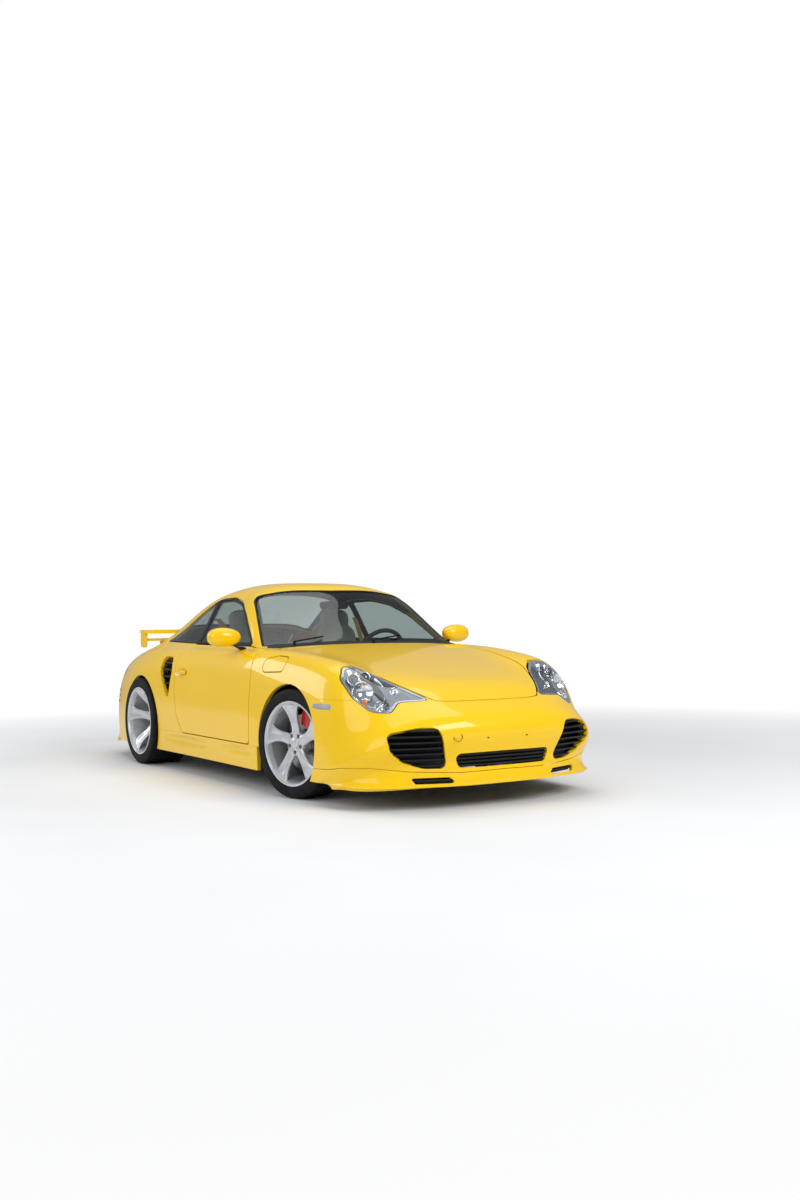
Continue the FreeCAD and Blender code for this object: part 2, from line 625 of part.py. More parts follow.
def rim(width, hub_x, back_x):
    half = width / 2.0
    profile = [(-half, RIM_LIP_R), (-half, 236), (-half + 14, 226), (-20, 205), (half - 34, 216),
               (half - 14, 226), (half, 236), (half, RIM_LIP_R), (half - 6.8, RIM_LIP_R), (half - 13.4, 230),
               (half - 34, 224), (-20, 213), (-half + 13.4, 230), (-half + 6.8, RIM_LIP_R)]
    pts = [vec(x, 0, r) for x, r in profile]
    face = Part.Face(Part.makePolygon(pts + [pts[0]]))
    body = face.revolve(vec(0, 0, 0), vec(1, 0, 0), 360)
    hub = Part.makeCylinder(78, hub_x - back_x, vec(back_x, 0, 0), vec(1, 0, 0))
    parts = [hub]
    for k in range(5):
        spoke = spoke_loft(hub_x, half)
        spoke.rotate(vec(0, 0, 0), vec(1, 0, 0), 72.0 * k)
        parts.append(spoke)
    return body.fuse(parts).removeSplitter()


# Twisted spoke lofted through three sections of radius, x, half width, half depth and twist
def spoke_loft(hub_x, half):
    rows = [dict(r=60, x=hub_x - 16, w=30, d=16, twist=0), dict(r=140, x=hub_x - 8, w=25, d=15, twist=10),
            dict(r=218, x=half - 26, w=44, d=10, twist=20)]
    wires = []
    for s in rows:
        pts = []
        for a, b in ((-1, -1), (1, -1), (1, 1), (-1, 1)):
            t = math.radians(s["twist"])
            y = a * s["w"] * math.cos(t) - b * s["d"] * math.sin(t)
            x = a * s["w"] * math.sin(t) + b * s["d"] * math.cos(t)
            pts.append(vec(s["x"] + x * 0.6, y + s["twist"], s["r"]))
        wires.append(Part.makePolygon(pts + [pts[0]]))
    return Part.makeLoft(wires, True, True)


def tyre(radius, width, rim_width):
    half = width / 2.0
    lip = rim_width / 2.0 - 7.0
    right = [(half - 22, radius), (half, radius - 26), (half, BEAD_R + 37), (lip, BEAD_R + 20.0),
             (lip - 6, BEAD_R + 3 + FIT)]
    pts = [vec(x, 0, r) for x, r in right] + [vec(-x, 0, r) for x, r in reversed(right)]
    face = Part.Face(Part.makePolygon(pts + [pts[0]]))
    return face.revolve(vec(0, 0, 0), vec(1, 0, 0), 360)


def brake_disc(r):
    disc = Part.makeCylinder(r, 32, vec(-16, 0, 0), vec(1, 0, 0))
    hat = Part.makeCylinder(82, 46, vec(-16, 0, 0), vec(1, 0, 0))
    return disc.fuse(hat).removeSplitter()


def place_wheel(shape, front, left):
    x = (FRONT_TRACK if front else REAR_TRACK) / 2.0
    z = FRONT_TYRE_R if front else REAR_TYRE_R
    out = shape.copy()
    out.translate(vec(x, 0.0 if front else WHEELBASE, z))
    if not left:
        out = mirrored(out)
    if front:
        out = spin_about(out, KINGPIN_X if left else -KINGPIN_X, 0, REST_STEER)
    return out


def front_knuckle():
    x = FRONT_TRACK / 2.0
    up = box(x - 92, x - 62, -46, 46, 190, 416)
    arm = box(x - 174, x - 80, -26, 26, 372, 400)
    hub = rod(44, vec(x - 66, 0, FRONT_TYRE_R), vec(x - 26 - FIT, 0, FRONT_TYRE_R))
    carrier = box(x - 88, x - 65, 30, 120, 300, 380)
    return up.fuse([arm, hub, carrier]).removeSplitter()


def caliper(r, x, z, angle):
    ring = Part.makeCylinder(r + 26, 110, vec(-55, 0, 0), vec(1, 0, 0))
    ring = ring.cut(Part.makeCylinder(r - 52, 110, vec(-55, 0, 0), vec(1, 0, 0)))
    slot = Part.makeCylinder(r + 6, 44, vec(-22, 0, 0), vec(1, 0, 0))
    wedge = Part.makeCylinder(r + 40, 110, vec(-55, 0, 0), vec(1, 0, 0), 64)
    piece = largest(ring.cut(slot).common(wedge))
    piece.rotate(vec(0, 0, 0), vec(1, 0, 0), angle)
    piece.translate(vec(x, 0, z))
    return piece


def front_suspension():
    frame = box(-345, 345, -70, 90, 164, 240 - FIT)
    parts = []
    for s in (-1, 1):
        parts.append(box(min(s * 300, s * 665), max(s * 300, s * 665), -25, 25, 164, 190 - FIT))
        parts.append(rod(34, vec(s * 505, 0, 180), vec(s * 505, 0, 640)))
        parts.append(rod(STRUT_R, vec(s * 505, 0, 640), vec(s * 505, 0, 720)))
    return frame.fuse(parts).removeSplitter()


def rear_suspension():
    frame = box(-480, 480, 2290, 2410, 200, 262 - FIT)
    parts = []
    for s in (-1, 1):
        parts.append(box(min(s * 460, s * 648), max(s * 460, s * 648), 2320, 2380, 204, 230))
        parts.append(box(min(s * 612, s * 640), max(s * 612, s * 640), 2300, 2400, 204, 430))
        parts.append(rod(44, vec(s * 640, 2350, 317), vec(s * (698 - FIT), 2350, 317)))
        parts.append(rod(SHAFT_R, vec(s * 330, 2350, 317), vec(s * 640, 2350, 317)))
        parts.append(rod(34, vec(s * 540, 2350, 215), vec(s * 540, 2400, 700)))
    return frame.fuse(parts).removeSplitter()


def engine():
    block = box(-345 + FIT, 345 - FIT, 2640, 3120, 264, 610)
    gearbox = box(-150, 150, 2180, 2650, 264, 470)
    return block.fuse(gearbox).removeSplitter()


def exhaust():
    silencer = box(-640, 640, 3150, 3290, 186, 262 - FIT)
    parts = []
    for x in (-600, -520, 520, 600):
        tip = rod(34, vec(x, 3250, 224), vec(x, 3408, 224))
        parts.append(tip.cut(rod(30, vec(x, 3310, 224), vec(x, 3430, 224))))
    return silencer.fuse(parts).removeSplitter()


def liner(y, z, r, x0, x1):
    ring = Part.makeCylinder(r, x1 - x0, vec(x0, y, z), vec(1, 0, 0))
    ring = ring.cut(Part.makeCylinder(r - 4, x1 - x0, vec(x0, y, z), vec(1, 0, 0)))
    ring = ring.common(box(x0, x1, y - 500, y + 500, z - 60, 1000))
    return ring.common(inside(SKIN + FIT))


def arch_liners():
    front = liner(0.0, FRONT_TYRE_R, FRONT_ARCH_R + 3, 424, 900)
    front = front.cut(rod(STRUT_R + FIT, vec(505, 0, 600), vec(505, 0, 720)))
    rear = liner(WHEELBASE, REAR_TYRE_R, REAR_ARCH_R + 3, 576, 900)
    return Part.makeCompound(pair(largest(front)).Solids + pair(largest(rear)).Solids)


# Arm and blade lying on the windscreen, with its spindle on the cowl
def wiper(x0, x1, y1):
    spindle = rod(9, vec(x0, 548, 850), vec(x0, 548, 908))
    elbow = vec(x0, 548, 904)
    arm = rod(5, elbow, vec((x0 + x1) / 2.0, y1, 932))
    blade = box(x0 + 40, x1, y1 - 4, y1 + 5, 860, 1000).common(inside(-13.0)).cut(inside(-2.0))
    return largest(spindle.fuse([arm, blade]).cut(inside(-FIT)).removeSplitter())


def wipers():
    return Part.makeCompound([wiper(-520, -40, 612), wiper(60, 540, 612)])


def inner_mirror():
    glass = front_prism(whole([(0, 1172, 200), (104, 1164, 20), (104, 1116, 20), (0, 1110, 200)]), 965, 990)
    stem = rod(9, vec(0, 975, 1150), vec(0, 1000, 1240)).common(inside(9.0 + FIT))
    return glass.fuse(largest(stem)).removeSplitter()


os.makedirs("parts", exist_ok=True)
NODES = [
    ("body_shell", body_shell), ("bonnet", bonnet), ("front_wings", front_wings), ("fuel_flap", fuel_flap),
    ("front_bumper", front_bumper), ("side_markers", side_markers), ("headlamps", headlamps),
    ("front_grilles", front_grilles), ("engine_lid", engine_lid), ("rear_wing", rear_wing),
    ("tail_lamps", tail_lamps), ("rear_bumper", rear_bumper), ("side_skirts", side_skirts),
    ("side_intakes", side_intakes), ("windscreen", windscreen), ("cowl", cowl), ("rear_window", rear_window),
    ("quarter_windows", quarter_windows), ("floor_pan", floor_pan), ("front_tub", front_tub),
    ("bulkheads", bulkheads), ("dashboard", dashboard),
    ("console", console), ("front_seats", front_seats), ("rear_bench", rear_bench),
    ("steering_wheel", steering_wheel), ("front_suspension", front_suspension),
    ("rear_suspension", rear_suspension), ("engine", engine), ("exhaust", exhaust),
    ("arch_liners", arch_liners), ("wipers", wipers), ("inner_mirror", inner_mirror),
]
for name, make in NODES:
    save(name, make())
for name, make in (("door", door_left), ("door_glass", door_glass_left), ("mirror", mirror_left)):
    left = make()
    save(name + "_left", left)
    save(name + "_right", mirrored(left))
FRONT_RIM = rim(FRONT_RIM_W, 78.0, 20.0 + FIT)
REAR_RIM = rim(REAR_RIM_W, 40.0, -20.0 + FIT)
for side in ("left", "right"):
    is_left = side == "left"
    save("tyre_front_" + side, place_wheel(tyre(FRONT_TYRE_R, FRONT_TYRE_W, FRONT_RIM_W), True, is_left))
    save("tyre_rear_" + side, place_wheel(tyre(REAR_TYRE_R, REAR_TYRE_W, REAR_RIM_W), False, is_left))
    save("rim_front_" + side, place_wheel(FRONT_RIM, True, is_left))
    save("rim_rear_" + side, place_wheel(REAR_RIM, False, is_left))
    front_disc = brake_disc(165.0)
    front_disc.translate(vec(-10.0, 0, 0))
    save("brake_disc_front_" + side, place_wheel(front_disc, True, is_left))
    rear_disc = brake_disc(165.0)
    rear_disc.translate(vec(-50.0, 0, 0))
    save("brake_disc_rear_" + side, place_wheel(rear_disc, False, is_left))
    x = KINGPIN_X if is_left else -KINGPIN_X
    knuckle = front_knuckle()
    grip = caliper(165.0, FRONT_TRACK / 2.0 - 10.0, FRONT_TYRE_R, 10.0)
    if not is_left:
        knuckle = mirrored(knuckle)
        grip = mirrored(grip)
    save("front_knuckle_" + side, spin_about(knuckle, x, 0, REST_STEER))
    save("front_caliper_" + side, spin_about(grip, x, 0, REST_STEER))
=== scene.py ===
"""Yellow rear-engined coupe: the CAD frame dressed with smooth panels, glass, lamps, wheels and cabin."""
import json
import logging
import math
from dataclasses import dataclass
from enum import Enum
from typing import Callable, Sequence

import bpy
import numpy as np
from mathutils import Matrix


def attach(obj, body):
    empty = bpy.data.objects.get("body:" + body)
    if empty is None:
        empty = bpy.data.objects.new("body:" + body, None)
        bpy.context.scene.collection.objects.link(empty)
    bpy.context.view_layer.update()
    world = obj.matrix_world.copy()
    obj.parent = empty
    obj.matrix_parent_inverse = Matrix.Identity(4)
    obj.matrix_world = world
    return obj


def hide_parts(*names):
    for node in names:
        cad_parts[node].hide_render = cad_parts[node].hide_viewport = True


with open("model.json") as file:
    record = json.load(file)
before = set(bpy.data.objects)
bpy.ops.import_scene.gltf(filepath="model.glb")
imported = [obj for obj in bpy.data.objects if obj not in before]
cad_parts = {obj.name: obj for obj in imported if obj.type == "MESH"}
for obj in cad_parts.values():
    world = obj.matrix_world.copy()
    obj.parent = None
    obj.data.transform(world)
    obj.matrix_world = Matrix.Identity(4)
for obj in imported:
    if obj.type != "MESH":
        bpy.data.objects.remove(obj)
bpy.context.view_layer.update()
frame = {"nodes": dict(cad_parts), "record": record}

LOG = logging.getLogger("coupe")
MM = 0.001
AXLE_Y = -1.1965
WHEELBASE = 2.350
FRONT_TRACK = 1.472
REAR_TRACK = 1.528
FRONT_TYRE_R = 0.3185
REAR_TYRE_R = 0.317
KINGPIN_X = 0.720
REST_STEER = math.radians(12.0)
FRONT_ARCH_R = 0.346
REAR_ARCH_R = 0.336
SKIN_T = 0.024
GAP = 0.006
BEND = 0.0016
SKIRT_TOP = 0.275
BUMPER_TOP = 0.592
REAR_BUMPER_TOP = 0.640
REAR_BUMPER_Y = 2.4
DOOR_FRONT = 0.486
ARC_STEP = 0.12
SHARP = math.radians(38)
FLANK_X = 0.70

# Body stations in mm: centre y, side y, crown z, then x and z of the lines from crown to sill
COLUMNS = (
    "yc", "ys", "zc", "mid", "rin_x", "rin_z", "rout_x", "rout_z", "bin_x", "bin_z",
    "bout_x", "bout_z", "crest_x", "crest_z", "flank_x", "flank_z", "low_x", "low_z", "sill",
)
ROWS = (
    (-985, -520, 130, 260, 420, 130, 520, 130, 610, 130, 680, 130, 755, 130, 808, 130, 830, 130, 836),
    (-990, -430, 180, 260, 420, 175, 520, 172, 610, 168, 680, 164, 755, 157, 808, 149, 830, 140, 836),
    (-940, -415, 250, 260, 420, 239, 520, 231, 610, 222, 680, 213, 755, 195, 810, 174, 836, 153, 842),
    (-1024, -385, 400, 270, 450, 387, 540, 375, 630, 358, 700, 342, 770, 304, 822, 251, 846, 192, 850),
    (-984, -360, 510, 270, 450, 490, 545, 469, 635, 445, 705, 415, 775, 362, 828, 283, 850, 210, 852),
    (-845, -335, 572, 270, 450, 559, 545, 538, 640, 508, 710, 468, 782, 402, 836, 315, 853, 221, 853),
    (-705, -300, 668, 270, 445, 648, 535, 640, 628, 628, 705, 605, 788, 540, 842, 405, 856, 245, 855),
    (-470, -240, 722, 270, 440, 722, 530, 730, 615, 770, 700, 782, 795, 728, 848, 520, 860, 280, 856),
    (-150, -90, 778, 280, 460, 779, 545, 788, 625, 812, 705, 828, 805, 788, 856, 590, 862, 310, 858),
    (150, 130, 828, 290, 480, 826, 570, 830, 650, 846, 720, 858, 822, 812, 864, 605, 868, 320, 864),
    (380, 400, 864, 300, 520, 858, 620, 854, 700, 858, 765, 860, 840, 818, 868, 620, 880, 360, 870),
    (500, 510, 880, 310, 540, 872, 640, 864, 712, 864, 775, 862, 848, 818, 866, 640, 882, 390, 869),
    (555, 575, 886, 320, 560, 878, 665, 868, 722, 866, 775, 862, 850, 818, 866, 645, 883, 395, 868),
    (600, 640, 912, 320, 570, 898, 690, 885, 728, 864, 770, 857, 851, 817, 867, 650, 884, 400, 867),
    (720, 760, 1010, 320, 560, 990, 682, 962, 730, 868, 770, 856, 852, 816, 868, 650, 884, 400, 866),
    (880, 900, 1130, 315, 525, 1115, 640, 1098, 730, 869, 769, 856, 853, 816, 868, 650, 884, 400, 866),
    (1040, 1060, 1265, 310, 487, 1226, 592, 1222, 728, 870, 768, 857, 854, 816, 868, 650, 884, 400, 866),
    (1180, 1190, 1296, 305, 482, 1250, 572, 1200, 726, 872, 767, 858, 854, 817, 868, 650, 884, 400, 866),
    (1400, 1400, 1310, 300, 482, 1264, 560, 1203, 716, 873, 762, 859, 852, 818, 870, 650, 884, 400, 866),
    (1650, 1650, 1292, 295, 478, 1250, 552, 1190, 694, 874, 750, 860, 852, 818, 880, 650, 886, 395, 868),
    (1950, 1950, 1238, 290, 476, 1205, 556, 1140, 680, 895, 745, 862, 862, 814, 896, 640, 888, 370, 872),
    (2250, 2250, 1135, 285, 468, 1108, 552, 1050, 662, 905, 742, 858, 866, 802, 908, 630, 898, 370, 878),
    (2550, 2520, 1010, 280, 462, 993, 548, 962, 645, 872, 728, 835, 848, 782, 906, 622, 894, 370, 874),
    (2850, 2750, 910, 270, 448, 896, 532, 878, 615, 846, 695, 810, 800, 745, 868, 595, 872, 380, 862),
    (3150, 2910, 850, 255, 418, 842, 492, 832, 575, 808, 650, 775, 745, 702, 822, 545, 840, 350, 838),
    (3330, 3000, 770, 240, 395, 765, 465, 755, 543, 735, 613, 700, 705, 620, 785, 470, 818, 300, 824),
    (3400, 3050, 600, 238, 385, 595, 455, 585, 528, 565, 595, 530, 682, 460, 758, 350, 798, 240, 810),
    (3420, 3070, 400, 238, 385, 394, 455, 386, 528, 370, 595, 345, 682, 300, 752, 245, 790, 190, 805),
    (3405, 3095, 250, 238, 385, 247, 455, 243, 528, 235, 595, 225, 682, 207, 750, 185, 786, 158, 802),
    (3380, 3140, 130, 238, 385, 130, 455, 130, 528, 130, 595, 130, 682, 130, 748, 130, 784, 130, 800),
)
STATIONS = [dict(zip(COLUMNS, row)) for row in ROWS]
LINES = ("rin", "rout", "bin", "bout", "crest", "flank", "low")

# Grid parameters: the body's whole length and nose, its whole way round and its left half
CAR_U = (0.0, len(ROWS) - 3.0)
NOSE_U = (0.0, 12.0)
NOSE_LAMP_U = (3.0, 12.0)
TAIL_U = (20.0, len(ROWS) - 3.0)
CAR_V = (0.0, 2.0 * (len(LINES) + 1))
LEFT_V = (len(LINES) + 1.0, 2.0 * (len(LINES) + 1))

# Thickness, depth under the skin and edge radius of each thin layer
PANE = (0.005, 0.004, 0.0006)
PRINT = (0.0014, 0.0094, 0.0003)
SEAL = (0.0034, 0.0004, 0.0006)
DOOR_SEAL = (0.0034, 0.0006, 0.0006)
DECAL = (0.0010, -0.0002, 0.0004)
LID_DECAL = (0.0016, -0.0007, 0.0004)

# A field is negative where a surface is kept. A shape is points, triangles and normals, or None to leave them out.
Array = np.ndarray
Field = Callable[[Array], Array]
Shape = tuple[Array, Array, Array | None]


class Plane(Enum):
    """Which two axes an outline is drawn on."""

    SIDE = (1, 2)
    TOP = (0, 1)
    FRONT = (0, 2)


@dataclass(frozen=True)
class Outline:
    """A closed outline of lines joined by tangent arcs, with corners as (a, b, radius) in mm."""

    plane: Plane
    corners: tuple
    mirrored: bool = False

    def loop(self) -> list:
        """All corners, with the mirror image of a half outline joined on.

        Returns:
            The corners in order.
        """
        pts = list(self.corners)
        if self.mirrored:
            pts += [(-a, b, r) for a, b, r in reversed(self.corners) if abs(a) > 0.01]
        return pts

    def polyline(self) -> Array:
        """Points along the outline in metres, with each corner's arc divided by its turn.

        A corner's arc touches both lines at radius / tan(half the corner's angle) from it.

        Returns:
            An array of shape (n, 2).
        """
        pts = self.loop()
        out = []
        n = len(pts)
        for k in range(n):
            p, q, r = (np.array(pts[(k + s) % n][:2], float) for s in (-1, 0, 1))
            rad = pts[k][2]
            u, v = p - q, r - q
            lu, lv = np.linalg.norm(u), np.linalg.norm(v)
            u, v = u / lu, v / lv
            half = math.acos(float(np.clip(u @ v, -1, 1))) / 2.0
            if rad <= 0 or half > math.pi / 2 - 0.002:
                out.append(q)
                continue
            cut = min(rad / math.tan(half), 0.47 * lu, 0.47 * lv)
            rad = cut * math.tan(half)
            w = u + v
            centre = q + w / np.linalg.norm(w) * (rad / math.sin(half))
            a, b = q + u * cut - centre, q + v * cut - centre
            turn = math.pi - 2 * half
            steps = max(2, int(turn / ARC_STEP) + 1)
            for s in np.linspace(0.0, 1.0, steps + 1):
                c = (math.sin((1 - s) * turn) * a + math.sin(s * turn) * b) / math.sin(turn)
                out.append(centre + c)
        return np.array(out) * MM

    def distance(self, points: Array) -> Array:
        """Signed distance to the outline, negative inside.

        Args:
            points: positions in the car frame, metres, shape (n, 3), with y measured from the front axle.

        Returns:
            Distances in metres, capped at 0.3 outside the outline's box.
        """
        line = self.polyline()
        i, j = self.plane.value
        p = points[:, [i, j]]
        lo, hi = line.min(0) - 0.06, line.max(0) + 0.06
        near = np.all((p >= lo) & (p <= hi), axis=1)
        out = np.full(len(p), 0.3)
        if not near.any():
            return out
        q = p[near]
        a, b = line, np.roll(line, -1, axis=0)
        best = np.full(len(q), 1e9)
        odd = np.zeros(len(q), bool)
        for s, e in zip(a, b):
            d = e - s
            t = np.clip(((q - s) @ d) / (d @ d + 1e-18), 0, 1)
            best = np.minimum(best, np.linalg.norm(q - s - t[:, None] * d, axis=1))
            if abs(d[1]) > 1e-12:
                cross = (s[1] > q[:, 1]) != (e[1] > q[:, 1])
                odd ^= cross & (q[:, 0] < s[0] + (q[:, 1] - s[1]) / d[1] * d[0])
        out[near] = np.where(odd, -best, best)
        return out


BONNET = Outline(Plane.TOP, ((0, -846, 3000), (250, -838, 400), (350, -812, 60), (432, -700, 300), (497, -560, 300),
                             (548, -400, 600), (606, 0, 1500), (642, 300, 900), (655, 460, 300), (648, 496, 20),
                             (0, 522, 3000)), True)
COWL = Outline(Plane.TOP, ((0, 500, 0), (640, 480, 0), (690, 520, 50), (712, 570, 30), (600, 640, 0),
                           (0, 640, 0)), True)
WINDSCREEN = Outline(Plane.TOP, ((0, 556, 3000), (520, 566, 900), (724, 590, 36), (572, 1052, 50),
                                 (0, 1029, 3000)), True)
REAR_WINDOW = Outline(Plane.TOP, ((0, 1846, 3000), (496, 1866, 60), (590, 2490, 80), (0, 2556, 2000)), True)
ENGINE_LID = Outline(Plane.TOP, ((0, 2600, 3000), (505, 2612, 50), (580, 2900, 900), (600, 3140, 100), (520, 3290, 80),
                                 (0, 3335, 2000)), True)
LAMP = Outline(Plane.FRONT, ((372, 588, 10), (470, 662, 60), (545, 728, 120), (622, 777, 70), (712, 772, 60),
                             (764, 704, 60), (750, 604, 60), (694, 526, 55), (612, 524, 50), (548, 578, 60),
                             (430, 584, 100)))
SIDE_GLASS = Outline(Plane.SIDE, ((716, 876, 12), (1010, 1082, 300), (1200, 1172, 300), (1400, 1207, 400),
                                  (1650, 1203, 500), (1894, 1158, 400), (2150, 1062, 400), (2424, 922, 25),
                                  (2370, 898, 30), (1704, 886, 600)))
SIDE_LIMIT = Outline(Plane.TOP, ((500, 600, 0), (500, 1500, 0), (545, 1860, 100), (650, 2440, 0), (1100, 2440, 0),
                                 (1100, 600, 0)))
DOOR = Outline(Plane.SIDE, ((486, 281, 30), (486, 871, 6), (1704, 881, 6), (1704, 560, 150), (1668, 390, 120),
                            (1572, 281, 60)))
DOOR_LIMIT = Outline(Plane.TOP, ((745, 460, 0), (738, 712, 0), (650, 740, 0), (600, 1710, 0), (1100, 1710, 0),
                                 (1100, 460, 0)))
TAIL_LAMP = Outline(Plane.FRONT, ((505, 736, 20), (640, 742, 60), (800, 700, 50), (820, 645, 10), (520, 645, 20)))
CORNER_INLET = Outline(Plane.FRONT, ((352, 224, 32), (428, 450, 48), (530, 452, 80), (694, 420, 45), (676, 322, 70),
                                     (590, 256, 90), (480, 226, 80)))
CENTRE_SLOT = Outline(Plane.FRONT, ((0, 303, 3000), (322, 301, 32), (292, 224, 28), (0, 223, 3000)), True)
LIP_SLOT = Outline(Plane.FRONT, ((312, 146, 9), (350, 179, 9), (556, 180, 9), (536, 148, 9)))
FUEL_FLAP = Outline(Plane.SIDE, ((345, 722, 42), (345, 806, 46), (215, 828, 90), (90, 820, 40), (84, 730, 40)))
SIDE_INTAKE = Outline(Plane.SIDE, ((1762, 700, 80), (1790, 795, 35), (1955, 800, 28), (1980, 690, 120),
                                   (1848, 515, 24), (1812, 520, 18)))
MARKER = Outline(Plane.SIDE, ((-478, 536, 12), (-478, 566, 12), (-300, 566, 12), (-300, 536, 12)))


def both_sides(outline: Outline) -> Field:
    """The outline's distance with x folded, so that one side's outline serves both."""
    return lambda p: outline.distance(p * np.array([0, 1, 1]) + np.abs(p) * np.array([1, 0, 0]))


def inside(outline: Outline, grow: float = 0.0, fold: bool = True) -> Field:
    """Keeps what lies inside the outline grown by a distance.

    Args:
        outline: the outline.
        grow: metres added all round.
        fold: whether both sides of the car share it.

    Returns:
        A field that is negative where the surface is kept.
    """
    base = both_sides(outline) if fold else outline.distance
    return lambda p: base(p) - grow


def outside(outline: Outline, grow: float = 0.0, fold: bool = True) -> Field:
    """Keeps what lies outside the outline grown by a distance; see inside."""
    base = both_sides(outline) if fold else outline.distance
    return lambda p: grow - base(p)


def below(axis: int, limit: float) -> Field:
    """Keeps where a coordinate is under a limit."""
    return lambda p: p[:, axis] - limit


def above(axis: int, limit: float) -> Field:
    """Keeps where a coordinate is over a limit."""
    return lambda p: limit - p[:, axis]


def off_arch(y: float, z: float, r: float) -> Field:
    """Keeps what lies outside a wheel arch, a circle seen from the side."""
    return lambda p: r - np.hypot(p[:, 1] - y, p[:, 2] - z)


def any_of(*fields: Field) -> Field:
    """Keeps where any of the fields keeps."""
    return lambda p: np.min([f(p) for f in fields], axis=0)


def all_of(*fields: Field) -> Field:
    """Keeps where all of the fields keep."""
    return lambda p: np.max([f(p) for f in fields], axis=0)


FRONT_ARCH = off_arch(0.0, FRONT_TYRE_R, FRONT_ARCH_R)
REAR_ARCH = off_arch(WHEELBASE, REAR_TYRE_R, REAR_ARCH_R)

# Which side of the body an outline's hole or panel is on
FRONT_FACE = below(1, -0.70)
LAMP_FACE = below(1, -0.25)
LID_FACE = above(2, 0.5)
LOW_LID_FACE = above(2, 0.45)
GLASS_FACE = above(2, 0.6)
TAIL_FACE = above(1, 2.88)
LEFT_SIDE = above(0, 0.3)
OUTER_SIDE = above(0, FLANK_X)


def both_flanks(p: Array) -> Array:
    """Keeps both outer sides of the body."""
    return FLANK_X - np.abs(p[:, 0])


def spline_weights(n: int, t: Array) -> Array:
    """Weights of n poles of a clamped uniform cubic spline at parameters t.

    The Cox and de Boor rule: a weight of degree d is a blend of two weights of degree d - 1, by how far t is
    between their knots.

    Args:
        n: number of poles.
        t: parameters from 0 to n - 3.

    Returns:
        An array of shape (len(t), n).
    """
    knots = np.concatenate([np.zeros(3), np.arange(0, n - 2), np.full(3, n - 3)]).astype(float)
    t = np.clip(t, 0.0, n - 3 - 1e-9)
    w = ((knots[None, :-1] <= t[:, None]) & (t[:, None] < knots[None, 1:])).astype(float)
    for d in (1, 2, 3):
        left = knots[d:-1] - knots[:-1 - d]
        right = knots[d + 1:] - knots[1:-d]
        with np.errstate(divide="ignore", invalid="ignore"):
            a = np.where(left > 0, (t[:, None] - knots[None, :-1 - d]) / left, 0.0)
            b = np.where(right > 0, (knots[None, d + 1:] - t[:, None]) / right, 0.0)
        w = a * w[:, :-1] + b * w[:, 1:]
    return w


@dataclass
class Patch:
    """Triangles over the body's two parameters."""

    uv: Array
    pts: Array
    tri: Array


